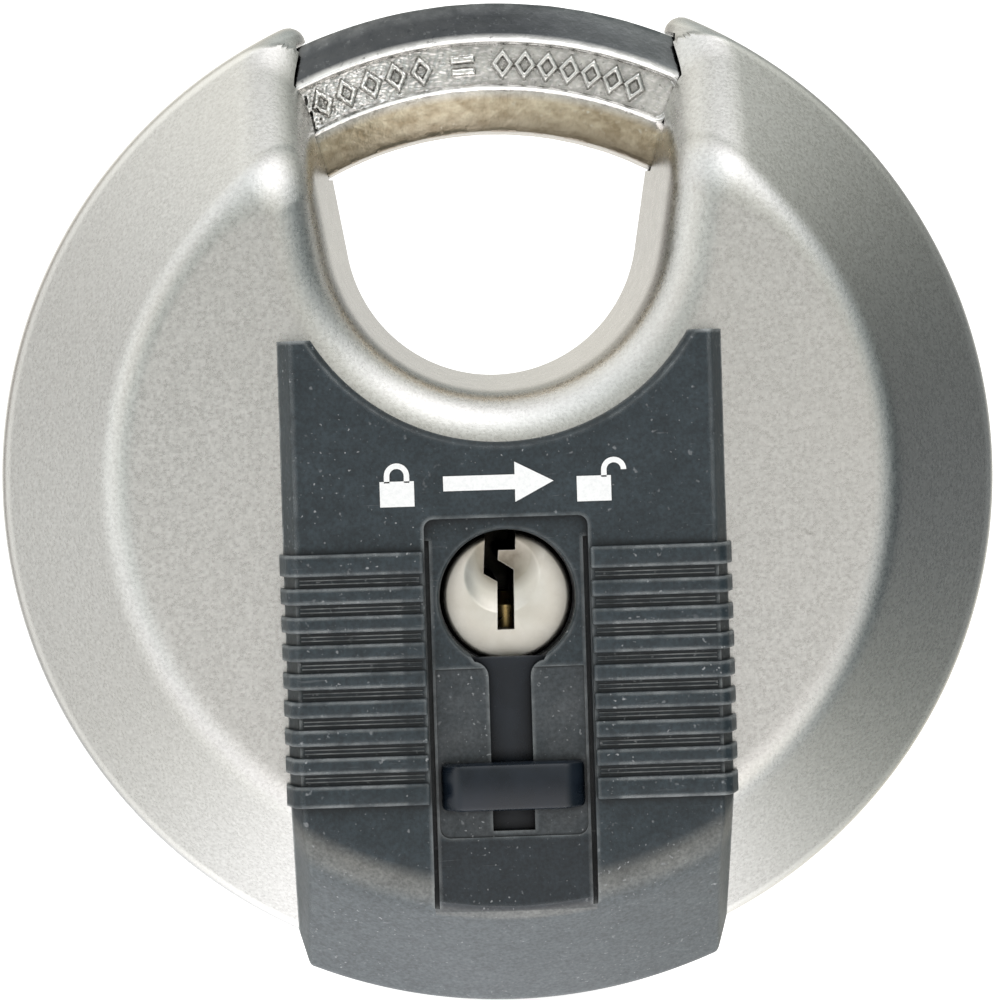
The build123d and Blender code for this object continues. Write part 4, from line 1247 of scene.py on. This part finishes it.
# A white tent round the part: soft lobes of light as (direction x, y, z, red, green, blue)
TENT = [
    (0.0405, -0.8864, -0.4612, 1.069, 1.010, 1.004),
    (0.3293, -0.8409, 0.4295, 0.519, 0.505, 0.424),
    (-0.5967, -0.7955, -0.1056, 0.448, 0.527, 0.521),
    (0.5581, -0.7500, -0.3550, 0.369, 0.402, 0.418),
    (-0.1842, -0.7045, 0.6853, 0.256, 0.317, 0.317),
    (-0.3466, -0.6591, -0.6674, 0.557, 0.540, 0.551),
    (0.7417, -0.6136, 0.2709, 0.069, 0.104, 0.122),
    (-0.7606, -0.5682, 0.3140, 0.376, 0.311, 0.261),
    (0.3613, -0.5227, -0.7721, 0.931, 0.874, 0.788),
    (0.2630, -0.4773, 0.8385, 1.954, 1.924, 2.027),
    (-0.7804, -0.4318, -0.4522, 0.478, 0.442, 0.481),
    (-0.5407, -0.3409, 0.7691, 0.639, 0.668, 0.712),
    (-0.1228, -0.2955, -0.9474, 0.985, 1.002, 1.080),
    (0.7404, -0.2500, 0.6240, 0.159, 0.187, 0.180),
    (-0.9780, -0.2045, 0.0404, 0.718, 0.771, 0.780),
    (0.6998, -0.1591, -0.6964, 0.017, 0.072, 0.091),
    (-0.6392, -0.0682, -0.7660, 0.481, 0.502, 0.442),
    (-0.8206, 0.0227, 0.5710, 0.477, 0.496, 0.499),
    (0.2190, 0.0682, -0.9733, 1.207, 1.191, 1.259),
    (0.4940, 0.1136, 0.8620, 0.443, 0.438, 0.373),
    (-0.9406, 0.1591, -0.3001, 0.410, 0.401, 0.389),
    (0.8886, 0.2045, -0.4106, 0.000, 0.000, 0.011),
    (-0.3738, 0.2500, 0.8932, 0.842, 0.815, 0.742),
    (-0.3233, 0.2955, -0.8990, 0.848, 0.833, 0.866),
    (-0.8919, 0.3864, 0.2351, 0.047, 0.013, 0.000),
    (0.4878, 0.4318, -0.7587, 0.134, 0.129, 0.066),
    (0.1488, 0.4773, 0.8661, 0.000, 0.055, 0.096),
    (0.8201, 0.5682, -0.0679, 0.196, 0.214, 0.229),
    (-0.5362, 0.6136, 0.5796, 0.062, 0.062, 0.062),
    (0.0037, 0.6591, -0.7521, 0.790, 0.795, 0.847),
    (0.4768, 0.7045, 0.5256, 0.080, 0.080, 0.080),
    (-0.6586, 0.7500, -0.0610, 0.062, 0.062, 0.062),
    (0.4827, 0.7955, -0.3664, 0.561, 0.524, 0.429),
    (-0.0969, 0.8409, 0.5324, 0.192, 0.180, 0.143),
    (-0.2466, 0.8864, -0.3919, 0.298, 0.331, 0.360),
    (0.3500, 0.9318, 0.0959, 0.336, 0.336, 0.336),
    (-0.1886, 0.9773, 0.0968, 0.814, 0.784, 0.734),
]


def build_world():
    """The tent lights the part, while the camera sees plain white."""
    world = bpy.data.worlds.new("studio")
    bpy.context.scene.world = world
    world.use_nodes = True
    g = Graph(world.node_tree)
    output = g.node("ShaderNodeOutputWorld")
    background = g.node("ShaderNodeBackground")
    direction = g.node("ShaderNodeTexCoord").outputs["Generated"]
    total = None
    for entry in TENT:
        dot = g.node("ShaderNodeVectorMath", operation="DOT_PRODUCT")
        dot.inputs[1].default_value = entry[:3]
        g.link(direction, dot.inputs[0])
        closeness = g.math("SUBTRACT", dot.outputs["Value"], 1.0)
        falloff = g.math("EXPONENT", g.times(closeness, by=LOBE_TIGHTNESS), 0.0)
        lobe = g.node("ShaderNodeVectorMath", operation="SCALE")
        lobe.inputs[0].default_value = entry[3:]
        g.link(falloff, lobe.inputs["Scale"])
        if total is None:
            total = lobe.outputs[0]
        else:
            both = g.node("ShaderNodeVectorMath", operation="ADD")
            g.link(total, both.inputs[0])
            g.link(lobe.outputs[0], both.inputs[1])
            total = both.outputs[0]
    rays = g.node("ShaderNodeLightPath")
    seen = g.mix(rays.outputs["Is Camera Ray"], under=total, over=(1, 1, 1))
    g.link(seen, background.inputs[0])
    background.inputs[1].default_value = 1.0
    g.link(background.outputs[0], output.inputs[0])


build_camera()
build_floor()
build_world()

view = bpy.context.scene.view_settings
view.view_transform = "Standard"
view.look = "None"
view.exposure = 0.0
view.gamma = 1.0
